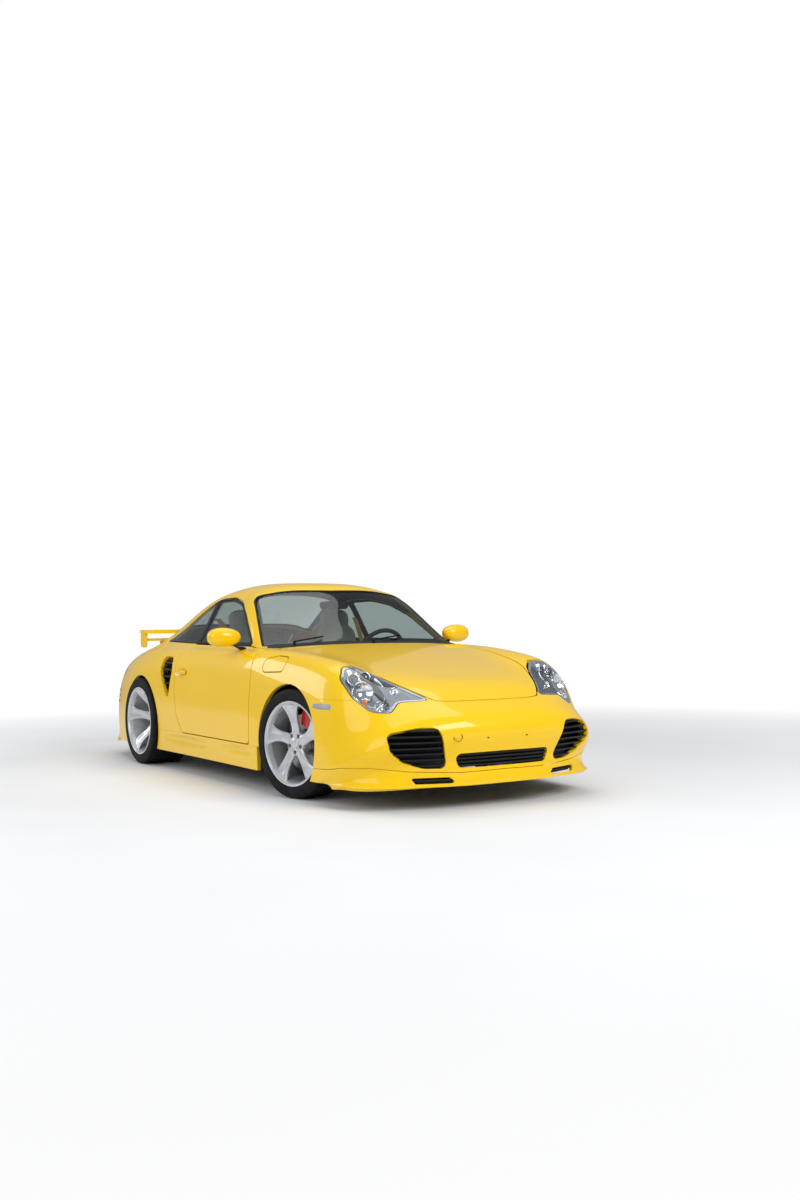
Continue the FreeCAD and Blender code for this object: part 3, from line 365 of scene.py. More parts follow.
class Skin:
    """The body's outer surface, a cubic spline over a net of poles made from the station table."""

    def __init__(self, relief: Field | None = None) -> None:
        """Builds the net of poles.

        Args:
            relief: how far the real surface stands out of the smooth one, in metres, by place.
        """
        rows = []
        for k, s in enumerate(STATIONS):
            ref = STATIONS[1] if k == 0 else STATIONS[-2] if k == len(STATIONS) - 1 else s
            half = [(0, s["zc"], ref["zc"]), (s["mid"], s["zc"], ref["zc"])]
            half += [(s[n + "_x"], s[n + "_z"], ref[n + "_z"]) for n in LINES] + [(s["sill"], 130, 130)]
            row = [(x, s["yc"] + (ref["zc"] - zr) / (ref["zc"] - 130.0) * (s["ys"] - s["yc"]), z) for x, z, zr in half]
            rows.append([(-x, y, z) for x, y, z in row[:0:-1]] + row)
        self.poles = np.array(rows, float) * MM
        self.relief = relief

    def smooth(self, uv: Array) -> Array:
        """Points of the smooth surface, the poles weighted by both splines.

        Args:
            uv: parameters along the car and round it, shape (n, 2).

        Returns:
            The points, shape (n, 3).
        """
        a = spline_weights(self.poles.shape[0], uv[:, 0])
        b = spline_weights(self.poles.shape[1], uv[:, 1])
        mid = np.tensordot(a, self.poles, axes=(1, 0))
        return np.einsum("nj,njk->nk", b, mid)

    def normals(self, surface: Field, uv: Array, step: float) -> Array:
        """Outward unit normals of a surface, the cross product of its slopes over a step each way.

        Args:
            surface: points of the surface at parameters.
            uv: the parameters, shape (n, 2).
            step: how far each slope reaches.

        Returns:
            The normals, shape (n, 3).
        """
        top = np.array([self.poles.shape[0] - 3, self.poles.shape[1] - 3], float)
        shifts = ((-step, 0), (step, 0), (0, -step), (0, step))
        lo_u, hi_u, lo_v, hi_v = (surface(np.clip(uv + shift, 0, top)) for shift in shifts)
        n = np.cross(hi_v - lo_v, hi_u - lo_u)
        return n / (np.linalg.norm(n, axis=1, keepdims=True) + 1e-15)

    def frame_at(self, uv: Array) -> tuple[Array, Array]:
        """Points and outward unit normals of the smooth surface."""
        return self.smooth(uv), self.normals(self.smooth, uv, 1e-3)

    def at(self, uv: Array, depth: float = 0.0) -> Array:
        """Points of the surface with its relief, moved along its normals to a depth.

        Args:
            uv: parameters, shape (n, 2).
            depth: metres below the surface.

        Returns:
            The points, shape (n, 3).
        """
        p, n = self.frame_at(uv)
        rise = self.relief(p)[:, None] if self.relief else 0.0
        return p + n * (rise - depth)

    def with_normal(self, uv: Array, depth: float = 0.0) -> tuple[Array, Array]:
        """Points and normals of the surface with its relief, at a depth below it; see at."""
        n = self.normals(lambda q: self.at(q, depth), uv, 4e-3) if self.relief else self.frame_at(uv)[1]
        return self.at(uv, depth), n

    def marks(self, step: float, along: Sequence[float], across: Sequence[float], axis: int) -> Array:
        """Parameters at which a grid's lines stand, evenly in each span of the spline.

        A span gets as many cells as three quarters of nine lines through it need to have none longer than the step.

        Args:
            step: cell width in metres.
            along: first and last parameter of the marks.
            across: first and last of the other parameter.
            axis: 0 for marks along the car, 1 for marks round it.

        Returns:
            The parameters in order.
        """
        lo, hi = along
        out = [np.array([lo])]
        knots = [lo, *(float(k) for k in range(int(math.floor(lo)) + 1, int(math.ceil(hi)))), hi]
        for a, b in zip(knots[:-1], knots[1:]):
            t = np.linspace(a, b, 5)
            lengths = []
            for other in np.linspace(*across, 9):
                row = np.full(5, other)
                points = self.smooth(np.stack([t, row] if axis == 0 else [row, t], axis=1))
                lengths.append(np.linalg.norm(np.diff(points, axis=0), axis=1).sum())
            n = max(1, int(math.ceil(np.percentile(lengths, 75) / step)))
            out.append(np.linspace(a, b, n + 1)[1:])
        return np.concatenate(out)

    def patch(self, step: float, u: tuple[float, float], v: tuple[float, float]) -> Patch:
        """A grid of triangles whose cells are about one step wide, span by span.

        Args:
            step: cell width in metres.
            u: first and last parameter along the car.
            v: first and last parameter round the body, from the right sill to the left.

        Returns:
            The patch.
        """
        us, vs = self.marks(step, u, v, 0), self.marks(step, v, u, 1)
        uu, vv = np.meshgrid(us, vs, indexing="ij")
        uv = np.stack([uu.ravel(), vv.ravel()], axis=1)
        idx = np.arange(len(uv)).reshape(len(us), len(vs))
        return Patch(uv, self.smooth(uv), np.concatenate(cells(idx)))

    def clip(self, patch: Patch, field: Field) -> Patch:
        """The part of a patch where the field is negative, cut exactly on its zero line.

        A triangle with one corner kept leaves a triangle, and one with two leaves a quad. The cut on an edge is
        found by three rounds of false position.

        Args:
            patch: the patch to cut.
            field: negative where the surface is kept.

        Returns:
            The cut patch.
        """
        f = field(patch.pts)
        f = np.where(np.abs(f) < 1e-7, -1e-7, f)
        kept = f < 0
        count = kept[patch.tri].sum(1)
        mixed = patch.tri[(count > 0) & (count < 3)]
        whole = patch.tri[count == 3]
        if len(mixed) == 0:
            return compact(Patch(patch.uv, patch.pts, whole))
        lone = kept[mixed].sum(1) == 1
        odd = np.argmax(kept[mixed] == lone[:, None], axis=1)
        turned = np.take_along_axis(mixed, (odd[:, None] + np.arange(3)) % 3, axis=1)
        edges = np.sort(np.concatenate([turned[:, [0, 1]], turned[:, [0, 2]]]), axis=1)
        edges, back = np.unique(edges, axis=0, return_inverse=True)
        back = back.ravel() + len(patch.uv)
        a, b = patch.uv[edges[:, 0]], patch.uv[edges[:, 1]]
        fa, fb = f[edges[:, 0]], f[edges[:, 1]]
        for _ in range(3):
            t = np.clip(fa / (fa - fb), 0.02, 0.98)
            mid = a + (b - a) * t[:, None]
            fm = field(self.smooth(mid))
            same = (fm < 0) == (fa < 0)
            a, fa = np.where(same[:, None], mid, a), np.where(same, fm, fa)
            b, fb = np.where(same[:, None], b, mid), np.where(same, fb, fm)
        t = np.clip(fa / (fa - fb + 1e-18), 0, 1)
        cut = a + (b - a) * t[:, None]
        pq, pr = back[:len(mixed)], back[len(mixed):]
        p, q, r = turned.T
        one = np.stack([p, pq, pr], 1)[lone]
        two = np.concatenate([np.stack([pq, q, r], 1)[~lone], np.stack([pq, r, pr], 1)[~lone]])
        uv = np.concatenate([patch.uv, cut])
        return compact(Patch(uv, np.concatenate([patch.pts, self.smooth(cut)]), np.concatenate([whole, one, two])))

    def plate(self, base: Patch, field: Field, thick: float, depth: float = 0.0, bend: float = BEND) -> Shape:
        """A closed panel of what a field keeps of a patch; see panel_mesh."""
        return panel_mesh(self, self.clip(base, field), thick, depth, bend)


def cells(idx: Array) -> list[Array]:
    """Both triangles of each cell of a grid of point numbers."""
    a, b, c, d = idx[:-1, :-1].ravel(), idx[:-1, 1:].ravel(), idx[1:, 1:].ravel(), idx[1:, :-1].ravel()
    return [np.stack([a, b, c], 1), np.stack([a, c, d], 1)]


def compact(patch: Patch) -> Patch:
    """The patch without points that no triangle uses."""
    used, inverse = np.unique(patch.tri, return_inverse=True)
    return Patch(patch.uv[used], patch.pts[used], inverse.reshape(-1, 3))


def rim_edges(tri: Array) -> Array:
    """Directed edges that only one triangle uses.

    Args:
        tri: the triangles, shape (n, 3).

    Returns:
        The edges, shape (m, 2).
    """
    e = np.concatenate([tri[:, [0, 1]], tri[:, [1, 2]], tri[:, [2, 0]]])
    s = np.sort(e, axis=1)
    _, first, count = np.unique(s, axis=0, return_index=True, return_counts=True)
    return e[first[count == 1]]


def mesh_object(name: str, points: Array, faces: Array, normals: Array | None = None) -> bpy.types.Object:
    """A mesh object in the row frame from triangles or quads.

    Args:
        name: the object's name.
        points: car-frame points in metres, shape (n, 3), y from the front axle.
        faces: vertex numbers, shape (m, 3) or (m, 4).
        normals: one unit normal a point, or None to leave them to the mesh.

    Returns:
        The new object, linked to the scene.
    """
    pts = points + np.array([0.0, AXLE_Y, 0.0])
    mesh = bpy.data.meshes.new(name)
    k = faces.shape[1]
    mesh.vertices.add(len(pts))
    mesh.vertices.foreach_set("co", pts.astype(np.float32).ravel())
    mesh.loops.add(len(faces) * k)
    mesh.loops.foreach_set("vertex_index", faces.astype(np.int32).ravel())
    mesh.polygons.add(len(faces))
    mesh.polygons.foreach_set("loop_start", np.arange(0, len(faces) * k, k, dtype=np.int32))
    mesh.update(calc_edges=True)
    mesh.validate()
    mesh.shade_smooth()
    if normals is None:
        mesh.set_sharp_from_angle(angle=SHARP)
    elif len(mesh.vertices) == len(normals):
        mesh.normals_split_custom_set_from_vertices([tuple(v) for v in normals.astype(float)])
    obj = bpy.data.objects.new(name, mesh)
    bpy.context.scene.collection.objects.link(obj)
    return obj


def panel_mesh(skin: Skin, patch: Patch, thick: float, depth: float = 0.0, bend: float = BEND) -> Shape:
    """Points, triangles and normals of a closed panel: face, rolled edge and back.

    The edge turns through a quarter circle of radius bend, out past the patch, then runs straight to the back.

    Args:
        skin: the surface.
        patch: the panel's face.
        thick: metres from face to back.
        depth: metres that the face lies under the surface.
        bend: radius of the rolled edge.

    Returns:
        The mesh, with normals.
    """
    p, n = skin.with_normal(patch.uv, depth)
    e = rim_edges(patch.tri)
    out = np.zeros_like(p)
    d = p[e[:, 1]] - p[e[:, 0]]
    d /= np.linalg.norm(d, axis=1, keepdims=True) + 1e-12
    side = np.cross(d, n[e[:, 0]])
    np.add.at(out, e[:, 0], side)
    np.add.at(out, e[:, 1], side)
    rim = np.unique(e)
    w = out[rim]
    w /= np.linalg.norm(w, axis=1, keepdims=True) + 1e-12
    place = np.full(len(p), -1)
    place[rim] = np.arange(len(rim))
    rings, ring_n = [], []
    for a in (0.55, 1.1, math.pi / 2):
        rings.append(p[rim] + w * bend * math.sin(a) - n[rim] * bend * (1 - math.cos(a)))
        ring_n.append(n[rim] * math.cos(a) + w * math.sin(a))
    rings.append(p[rim] + w * bend - n[rim] * max(thick - 0.001, bend * 1.2))
    ring_n.append(w)
    start_back = len(p) + len(rings) * len(rim)
    tris = [patch.tri, patch.tri[:, ::-1] + start_back]
    levels = [e, *(len(p) + k * len(rim) + place[e] for k in range(len(rings))), e + start_back]
    for low, high in zip(levels[:-1], levels[1:]):
        tris += [np.stack([low[:, 0], high[:, 0], high[:, 1]], 1), np.stack([low[:, 0], high[:, 1], low[:, 1]], 1)]
    points = np.concatenate([p, *rings, p - n * thick])
    return points, np.concatenate(tris), np.concatenate([n, *ring_n, -n])


def flipped(points: Array, tris: Array, normals: Array | None) -> Shape:
    """The mirror image about x 0, still facing outwards."""
    m = np.array([-1.0, 1.0, 1.0])
    return points * m, tris[:, ::-1], None if normals is None else normals * m


def joined(*parts: Shape) -> Shape:
    """Several meshes as one, with normals if all of them have normals.

    Args:
        *parts: the meshes.

    Returns:
        The mesh.
    """
    starts = np.cumsum([0] + [len(points) for points, _, _ in parts])
    tris = np.concatenate([tri + start for (_, tri, _), start in zip(parts, starts)])
    normals = [n for _, _, n in parts]
    bare = any(n is None for n in normals)
    return np.concatenate([points for points, _, _ in parts]), tris, None if bare else np.concatenate(normals)


def pair(shape: Shape) -> Shape:
    """A mesh and its mirror image."""
    return joined(shape, flipped(*shape))


def moved(shape: Shape, by: Sequence[float]) -> Shape:
    """The mesh moved, without its normals."""
    return shape[0] + np.array(by), shape[1], None


# The side's name and what turns the left side's mesh into its own
SIDES = (("left", lambda shape: shape), ("right", lambda shape: flipped(*shape)))


def ease(t: Array) -> Array:
    """A share from 0 to 1 that starts and ends level: three squares less two cubes."""
    t = np.clip(t, 0, 1)
    return t * t * (3 - 2 * t)


def sheet(patch: Patch, front: Array, back: Array) -> Shape:
    """A closed sheet over a patch's triangles: its front, its back and the wall between their edges.

    Args:
        patch: the triangles.
        front: points of the front.
        back: points of the back, in the same order.

    Returns:
        The mesh.
    """
    e, m = rim_edges(patch.tri), len(front)
    wall = [np.stack([e[:, 1], e[:, 0], e[:, 0] + m], 1), np.stack([e[:, 1], e[:, 0] + m, e[:, 1] + m], 1)]
    return np.concatenate([front, back]), np.concatenate([patch.tri, patch.tri[:, ::-1] + m, *wall]), None


def outward(points: Array, tris: Array) -> Shape:
    """The closed mesh turned so that its signed volume is positive.

    Args:
        points: its points.
        tris: its triangles, all facing in or all facing out.

    Returns:
        The mesh.
    """
    a, b, c = (points[tris[:, k]] for k in range(3))
    size = float(np.einsum("ij,ij->i", a, np.cross(b, c)).sum())
    return points, tris if size > 0 else tris[:, ::-1], None


def net(points: Array, around: bool = True, along: bool = False, ends: bool = True) -> Shape:
    """A closed mesh over a grid of points.

    Args:
        points: the grid, shape (rows, columns, 3).
        around: whether the last column joins the first.
        along: whether the last row joins the first.
        ends: whether the first and last rows are closed by fans about their middles.

    Returns:
        The mesh, facing outwards.
    """
    n, m = points.shape[:2]
    idx = np.arange(n * m).reshape(n, m)
    wide = np.concatenate([idx, idx[:, :1]], 1) if around else idx
    tall = np.concatenate([wide, wide[:1]], 0) if along else wide
    tris = cells(tall)
    pts = points.reshape(-1, 3)
    if ends and not along:
        pts = np.concatenate([pts, points[0].mean(0)[None], points[-1].mean(0)[None]])
        near, far = wide[0], wide[-1]
        tris.append(np.stack([near[1:], near[:-1], np.full(len(near) - 1, n * m)], 1))
        tris.append(np.stack([far[:-1], far[1:], np.full(len(far) - 1, n * m + 1)], 1))
    return outward(pts, np.concatenate(tris))


def lathe(profile: Array, steps: int = 64, ring: bool = True) -> Shape:
    """A profile of (x, radius) turned about the X axis.

    Args:
        profile: shape (n, 2); a closed loop for a ring, or a line from the axis to the axis.
        steps: divisions of the turn.
        ring: whether the profile is a closed loop.

    Returns:
        The mesh.
    """
    turn = np.linspace(0, 2 * math.pi, steps, endpoint=False)
    x = np.repeat(profile[:, 0][:, None], steps, 1)
    y = profile[:, 1][:, None] * np.cos(turn)
    z = profile[:, 1][:, None] * np.sin(turn)
    return net(np.stack([x, y, z], 2), True, ring, not ring)


def plug(back: float, front: float, radius: float, steps: int, eye: float = 0.0004) -> Shape:
    """A short cylinder about the X axis, whose faces close on an eye too small to see."""
    return lathe(np.array([(back, eye), (back, radius), (front, radius), (front, eye)]), steps, False)


def oval(steps: int, power: float = 2.0) -> tuple[Array, Array]:
    """Both coordinates of a superellipse of half axes 1: cosine and sine, each to the power of 2 / power.

    Args:
        steps: number of points.
        power: 2 for a circle, more for a squarer form.

    Returns:
        The coordinates.
    """
    t = np.linspace(0, 2 * math.pi, steps, endpoint=False)
    c, s = np.cos(t), np.sin(t)
    return np.sign(c) * np.abs(c) ** (2 / power), np.sign(s) * np.abs(s) ** (2 / power)


def turned(shape: Shape, axis: str, angle: float, at: Sequence[float] = (0.0, 0.0, 0.0)) -> Shape:
    """The mesh turned about an axis through the origin and then moved."""
    m = np.array(Matrix.Rotation(angle, 3, axis))
    return shape[0] @ m.T + np.array(at), shape[1], None


def facing(shape: Shape, ahead: Sequence[float], at: Sequence[float]) -> Shape:
    """The mesh with its X axis turned to look ahead and its Y axis kept level, then moved.

    Args:
        shape: the mesh.
        ahead: where its X axis looks, of any length.
        at: its place.

    Returns:
        The mesh.
    """
    x = np.array(ahead, float)
    x /= np.linalg.norm(x)
    y = np.cross([0.0, 0.0, 1.0], x)
    y /= np.linalg.norm(y)
    m = np.stack([x, y, np.cross(x, y)], axis=1)
    return shape[0] @ m.T + np.array(at), shape[1], None


def pillow(half: Sequence[float], power: float = 3.0, steps: int = 28) -> Shape:
    """A crowned closed form: a superellipsoid whose waist is squarer than its crown.

    Args:
        half: half its size along each axis.
        power: how square its crown is, 2 being round.
        steps: divisions from pole to pole, and half those round its waist.

    Returns:
        The mesh.
    """
    turn = np.linspace(-math.pi / 2 + 0.02, math.pi / 2 - 0.02, steps // 2 + 1)
    a, b = oval(steps * 2, power + 1.0)
    waist = np.cos(turn) ** (2 / power)
    rise = np.sign(np.sin(turn)) * np.abs(np.sin(turn)) ** (2 / power)
    x = half[0] * waist[:, None] * a
    y = half[1] * waist[:, None] * b
    z = half[2] * np.repeat(rise[:, None], steps * 2, 1)
    return net(np.stack([x, y, z], 2))


def strap(path: Array, across: Sequence[float], half: float, thick: float) -> Shape:
    """A flat belt along a path.

    Args:
        path: middle points, shape (n, 3).
        across: direction of the belt's width, one for all.
        half: half its width.
        thick: its thickness.

    Returns:
        The mesh.
    """
    along = np.gradient(path, axis=0)
    up = np.cross(along, across)
    up /= np.linalg.norm(up, axis=1, keepdims=True)
    side = np.array(across) / np.linalg.norm(across)
    corners = [(1, 0), (0.96, 1), (-0.96, 1), (-1, 0), (-0.96, -1), (0.96, -1)]
    rows = [path + side * half * a + up * thick / 2 * b for a, b in corners]
    return net(np.stack(rows, 1))


def curve(points: Sequence[Sequence[float]], count: int = 24) -> Array:
    """A smooth path near four or more places: a cubic spline whose poles are the places."""
    poles = np.array(points, float)
    return spline_weights(len(poles), np.linspace(0, len(poles) - 3, count)) @ poles


class Rule:
    """Node helpers for procedural materials on Object coordinates."""

    def __init__(self, name: str, world: bpy.types.World | None = None) -> None:
        """Starts with the output only.

        Args:
            name: the new material's name.
            world: a world to work on instead.
        """
        self.mat = world or bpy.data.materials.new(name)
        self.mat.use_nodes = True
        self.tree = self.mat.node_tree
        self.tree.nodes.clear()
        self.out = self.add("ShaderNodeOutputWorld" if world else "ShaderNodeOutputMaterial")

    def add(self, kind: str, inputs: dict | None = None, **props: object) -> bpy.types.Node:
        """Adds a node.

        Args:
            kind: the node's type name.
            inputs: socket name or number to a value or another socket.
            **props: properties of the node.

        Returns:
            The node.
        """
        node = self.tree.nodes.new(kind)
        for key, value in props.items():
            setattr(node, key, value)
        for key, value in (inputs or {}).items():
            socket = node.inputs[key]
            if isinstance(value, bpy.types.NodeSocket):
                self.tree.links.new(value, socket)
            else:
                socket.default_value = value
        return node

    def place(self) -> bpy.types.NodeSocket:
        """The Object coordinates of the piece."""
        return self.add("ShaderNodeTexCoord").outputs["Object"]

    def noise(self, scale: float, detail: float = 2.0, rough: float = 0.5) -> bpy.types.NodeSocket:
        """A noise value over Object coordinates.

        Args:
            scale: noise cells a metre.
            detail: octaves.
            rough: share of the finer octaves.

        Returns:
            The value's socket.
        """
        inputs = {"Vector": self.place(), "Scale": scale, "Detail": detail, "Roughness": rough}
        node = self.add("ShaderNodeTexNoise", inputs)
        return node.outputs["Fac"]

    def span(self, value: bpy.types.NodeSocket, lo: float, hi: float, a: float = 0.0,
             b: float = 1.0) -> bpy.types.NodeSocket:
        """A value mapped in a straight line and clamped.

        Args:
            value: the value's socket.
            lo: value that becomes a.
            hi: value that becomes b.
            a: result at lo.
            b: result at hi.

        Returns:
            The result's socket.
        """
        inputs = {"Value": value, "From Min": lo, "From Max": hi, "To Min": a, "To Max": b}
        node = self.add("ShaderNodeMapRange", inputs)
        return node.outputs["Result"]

    def blend(self, fac: bpy.types.NodeSocket, a: tuple, b: tuple) -> bpy.types.NodeSocket:
        """A colour between two.

        Args:
            fac: share of the second.
            a: the first colour.
            b: the second colour.

        Returns:
            The colour's socket.
        """
        node = self.add("ShaderNodeMix", data_type="RGBA")
        self.tree.links.new(fac, node.inputs["Factor"])
        node.inputs[6].default_value = (*a, 1.0)
        node.inputs[7].default_value = (*b, 1.0)
        return node.outputs[2]

    def bump(self, height: bpy.types.NodeSocket, strength: float, distance: float) -> bpy.types.NodeSocket:
        """A bumped normal from a height."""
        node = self.add("ShaderNodeBump", {"Height": height, "Strength": strength, "Distance": distance})
        return node.outputs["Normal"]

    def surface(self, **inputs: object) -> bpy.types.Material:
        """Ends the material with a Principled shader.

        Args:
            **inputs: values or sockets by input name, with underscores for spaces.

        Returns:
            The material.
        """
        node = self.add("ShaderNodeBsdfPrincipled", {k.replace("_", " "): v for k, v in inputs.items()})
        self.tree.links.new(node.outputs[0], self.out.inputs[0])
        return self.mat

    def mixed(self, share: bpy.types.NodeSocket, a: bpy.types.Node, b: bpy.types.Node) -> bpy.types.Material:
        """Ends with a mix of two shaders.

        Args:
            share: share of the second.
            a: the first shader.
            b: the second shader.

        Returns:
            The material.
        """
        mix = self.add("ShaderNodeMixShader", {0: share, 1: a.outputs[0], 2: b.outputs[0]})
        self.tree.links.new(mix.outputs[0], self.out.inputs[0])
        return self.mat


@dataclass(frozen=True)
class Gloss:
    """Car paint: a slightly uneven colour under a clear coat with faint orange peel."""

    colour: tuple = (0.93, 0.58, 0.0)
    shade: tuple = (0.90, 0.555, 0.0)
    rough: float = 0.32

    def material(self, name: str) -> bpy.types.Material:
        """Builds the paint.

        Args:
            name: the material's name.

        Returns:
            The material.
        """
        k = Rule(name)
        tint = k.blend(k.span(k.noise(1.3), 0.35, 0.65), self.colour, self.shade)
        peel = k.bump(k.noise(420.0, 1.0), 0.04, 0.0004)
        rough = k.span(k.noise(3.0), 0.3, 0.7, self.rough - 0.03, self.rough + 0.04)
        return k.surface(Base_Color=tint, Roughness=rough, Coat_Weight=0.6, Coat_Roughness=0.03, Coat_Normal=peel,
                         Specular_IOR_Level=0.15)


@dataclass(frozen=True)
class Solid:
    """A plain worked material: its colour broken up by noise, with a fine grain in its height."""

    colour: tuple
    shade: tuple
    rough: float = 0.5
    metal: float = 0.0
    grain: float = 300.0
    depth: float = 0.0003
    coat: float = 0.0
    scale: float = 9.0
    gloss: float = 0.5

    def material(self, name: str) -> bpy.types.Material:
        """Builds the material.

        Args:
            name: the material's name.

        Returns:
            The material.
        """
        k = Rule(name)
        tint = k.blend(k.span(k.noise(self.scale, 4.0), 0.35, 0.65), self.colour, self.shade)
        rough = k.span(k.noise(self.scale * 3.0), 0.3, 0.7, self.rough - 0.05, self.rough + 0.06)
        normal = k.bump(k.noise(self.grain, 3.0), 0.35, self.depth)
        return k.surface(Base_Color=tint, Roughness=rough, Metallic=self.metal, Normal=normal, Coat_Weight=self.coat,
                         Coat_Roughness=0.06, Specular_IOR_Level=self.gloss)


@dataclass(frozen=True)
class Pane:
    """Tinted glass: a mirror-like film over a see-through tint, so that the cabin shows through it."""

    tint: tuple = (0.72, 0.76, 0.75)
    film: float = 0.035
    edge_film: float = 0.55

    def material(self, name: str) -> bpy.types.Material:
        """Builds the glass.

        Args:
            name: the material's name.

        Returns:
            The material.
        """
        k = Rule(name)
        clear = k.add("ShaderNodeBsdfTransparent", {"Color": (*self.tint, 1.0)})
        wave = k.bump(k.noise(2.2), 0.05, 0.002)
        shine = k.add("ShaderNodeBsdfGlossy", {"Color": (1, 1, 1, 1), "Roughness": 0.02, "Normal": wave})
        edge = k.add("ShaderNodeLayerWeight", {"Blend": 0.5})
        steep = k.add("ShaderNodeMath", {0: edge.outputs["Facing"], 1: 5.0}, operation="POWER")
        share = k.span(steep.outputs[0], 0.0, 1.0, self.film, self.edge_film)
        return k.mixed(share, clear, shine)


class Finish(Enum):
    """Every finish on the car."""

    PAINT = Gloss()
    GLASS = Pane()
    LAMP_CLEAR = Pane((0.96, 0.97, 0.97), 0.05)
    BLACK_TRIM = Solid((0.006, 0.006, 0.007), (0.010, 0.010, 0.011), 0.5, grain=700.0, depth=0.0002, gloss=0.25)
    UNDERBODY = Solid((0.020, 0.020, 0.021), (0.045, 0.043, 0.040), 0.8, grain=220.0, depth=0.0015)
    LAMP_RED = Solid((0.35, 0.008, 0.006), (0.26, 0.005, 0.004), 0.12, coat=1.0, grain=90.0, depth=0.0004)
    AMBER = Solid((0.75, 0.22, 0.01), (0.60, 0.16, 0.008), 0.15, coat=1.0, grain=260.0, depth=0.0006)
    TYRE = Solid((0.008, 0.008, 0.009), (0.015, 0.015, 0.014), 0.72, grain=500.0, depth=0.0004, gloss=0.15)
    RIM = Solid((0.62, 0.63, 0.65), (0.57, 0.58, 0.60), 0.32, 0.6, grain=600.0, depth=0.00005, coat=0.4)
    CHROME = Solid((0.80, 0.81, 0.82), (0.72, 0.73, 0.74), 0.08, 1.0, grain=60.0, depth=0.00005)
    DISC = Solid((0.36, 0.36, 0.36), (0.26, 0.25, 0.25), 0.3, 0.95, grain=260.0, depth=0.0003)
    CALIPER = Solid((0.55, 0.015, 0.010), (0.42, 0.010, 0.008), 0.3, grain=120.0, depth=0.0004, coat=0.6)
    LEATHER = Solid((0.62, 0.56, 0.45), (0.56, 0.50, 0.40), 0.5, grain=420.0, depth=0.0008)
    DASH = Solid((0.018, 0.018, 0.019), (0.030, 0.030, 0.031), 0.6, grain=900.0, depth=0.0005)
    STEEL = Solid((0.20, 0.20, 0.20), (0.13, 0.12, 0.12), 0.5, 0.7, grain=90.0, depth=0.0008)
    EXHAUST = Solid((0.45, 0.44, 0.42), (0.33, 0.31, 0.29), 0.25, 0.95, grain=180.0, depth=0.0003)
    BELT = Solid((0.70, 0.42, 0.015), (0.60, 0.34, 0.010), 0.7, grain=700.0, depth=0.0006)
    TRAY = Solid((0.50, 0.52, 0.55), (0.34, 0.36, 0.40), 0.22, 0.7, grain=80.0, depth=0.0002)
    LENS = Solid((0.03, 0.035, 0.045), (0.05, 0.055, 0.07), 0.05, 0.4, grain=60.0, depth=0.00005, coat=1.0)
    SILVER_LENS = Solid((0.62, 0.60, 0.60), (0.50, 0.48, 0.48), 0.12, 0.5, grain=120.0, depth=0.0005, coat=1.0)
    CLOTH = Solid((0.10, 0.095, 0.085), (0.08, 0.076, 0.068), 0.9, grain=900.0, depth=0.0004)
    DUSK = Solid((0.03, 0.04, 0.07), (0.06, 0.08, 0.12), 0.15, 0.6, grain=70.0, depth=0.0002, coat=0.6)
    # Flat black: the printed borders of the glass, and painted shade in holes, pipe ends and the side intakes
    DARK = Solid((0.006, 0.006, 0.006), (0.012, 0.012, 0.012), 0.9, grain=100.0, depth=0.0004, gloss=0.1)


SLOTS = {"body_yellow": Finish.PAINT, "glass": Finish.GLASS, "black_trim": Finish.BLACK_TRIM,
         "underbody": Finish.UNDERBODY, "lamp_clear": Finish.CHROME, "lamp_red": Finish.LAMP_RED,
         "tyre": Finish.TYRE, "rim_silver": Finish.RIM, "disc_steel": Finish.DISC, "caliper_red": Finish.CALIPER,
         "leather_grey": Finish.LEATHER, "dash_black": Finish.DASH, "mech_steel": Finish.STEEL,
         "exhaust_steel": Finish.EXHAUST}


class Paintbox:
    """Builds each finish's material once."""

    def __init__(self) -> None:
        """Starts with no material made."""
        self.made: dict[Finish, bpy.types.Material] = {}

    def get(self, finish: Finish) -> bpy.types.Material:
        """The finish's material.

        Args:
            finish: the finish.

        Returns:
            The material, made when it is first asked for.
        """
        if finish not in self.made:
            self.made[finish] = finish.value.material(finish.name.lower())
        return self.made[finish]

    def coat(self, obj: bpy.types.Object, finish: Finish) -> None:
        """Gives the whole object one finish."""
        obj.data.materials.clear()
        obj.data.materials.append(self.get(finish))


PAINTS = Paintbox()


def piece(name: str, body: str, finish: Finish, shape: Shape,
          stands_for: Sequence[str] = ()) -> bpy.types.Object:
    """Makes one finished piece of the car.

    Args:
        name: piece name.
        body: the CAD body that carries it.
        finish: its finish.
        shape: its mesh.
        stands_for: CAD nodes that it replaces.

    Returns:
        The object.
    """
    points, tris, normals = shape
    obj = mesh_object(name, points, tris, normals)
    PAINTS.coat(obj, finish)
    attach(obj, body)
    if stands_for:
        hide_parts(*stands_for)
    LOG.info("%s: %d triangles on %s", name, len(tris), body)
    return obj


def hole(outline: Outline, grow: float, face: Field) -> Field:
    """Keeps what lies outside a grown outline, or off the face that the hole goes through.

    Args:
        outline: the hole's edge.
        grow: metres added to the hole all round.
        face: keeps the side of the body that the hole is in.

    Returns:
        A field that is negative where the surface is kept.
    """
    away = outside(outline, grow)
    return lambda p: np.minimum(away(p), -face(p))


def dish(p: Array, y: float, z: float, half_y: float, half_z: float) -> Array:
    """Share of an oval dish's depth: one less the squared distance from its middle in half axes, at least 0."""
    return np.clip(1 - (((p[:, 1] - y) / half_y) ** 2 + ((p[:, 2] - z) / half_z) ** 2), 0, 1)


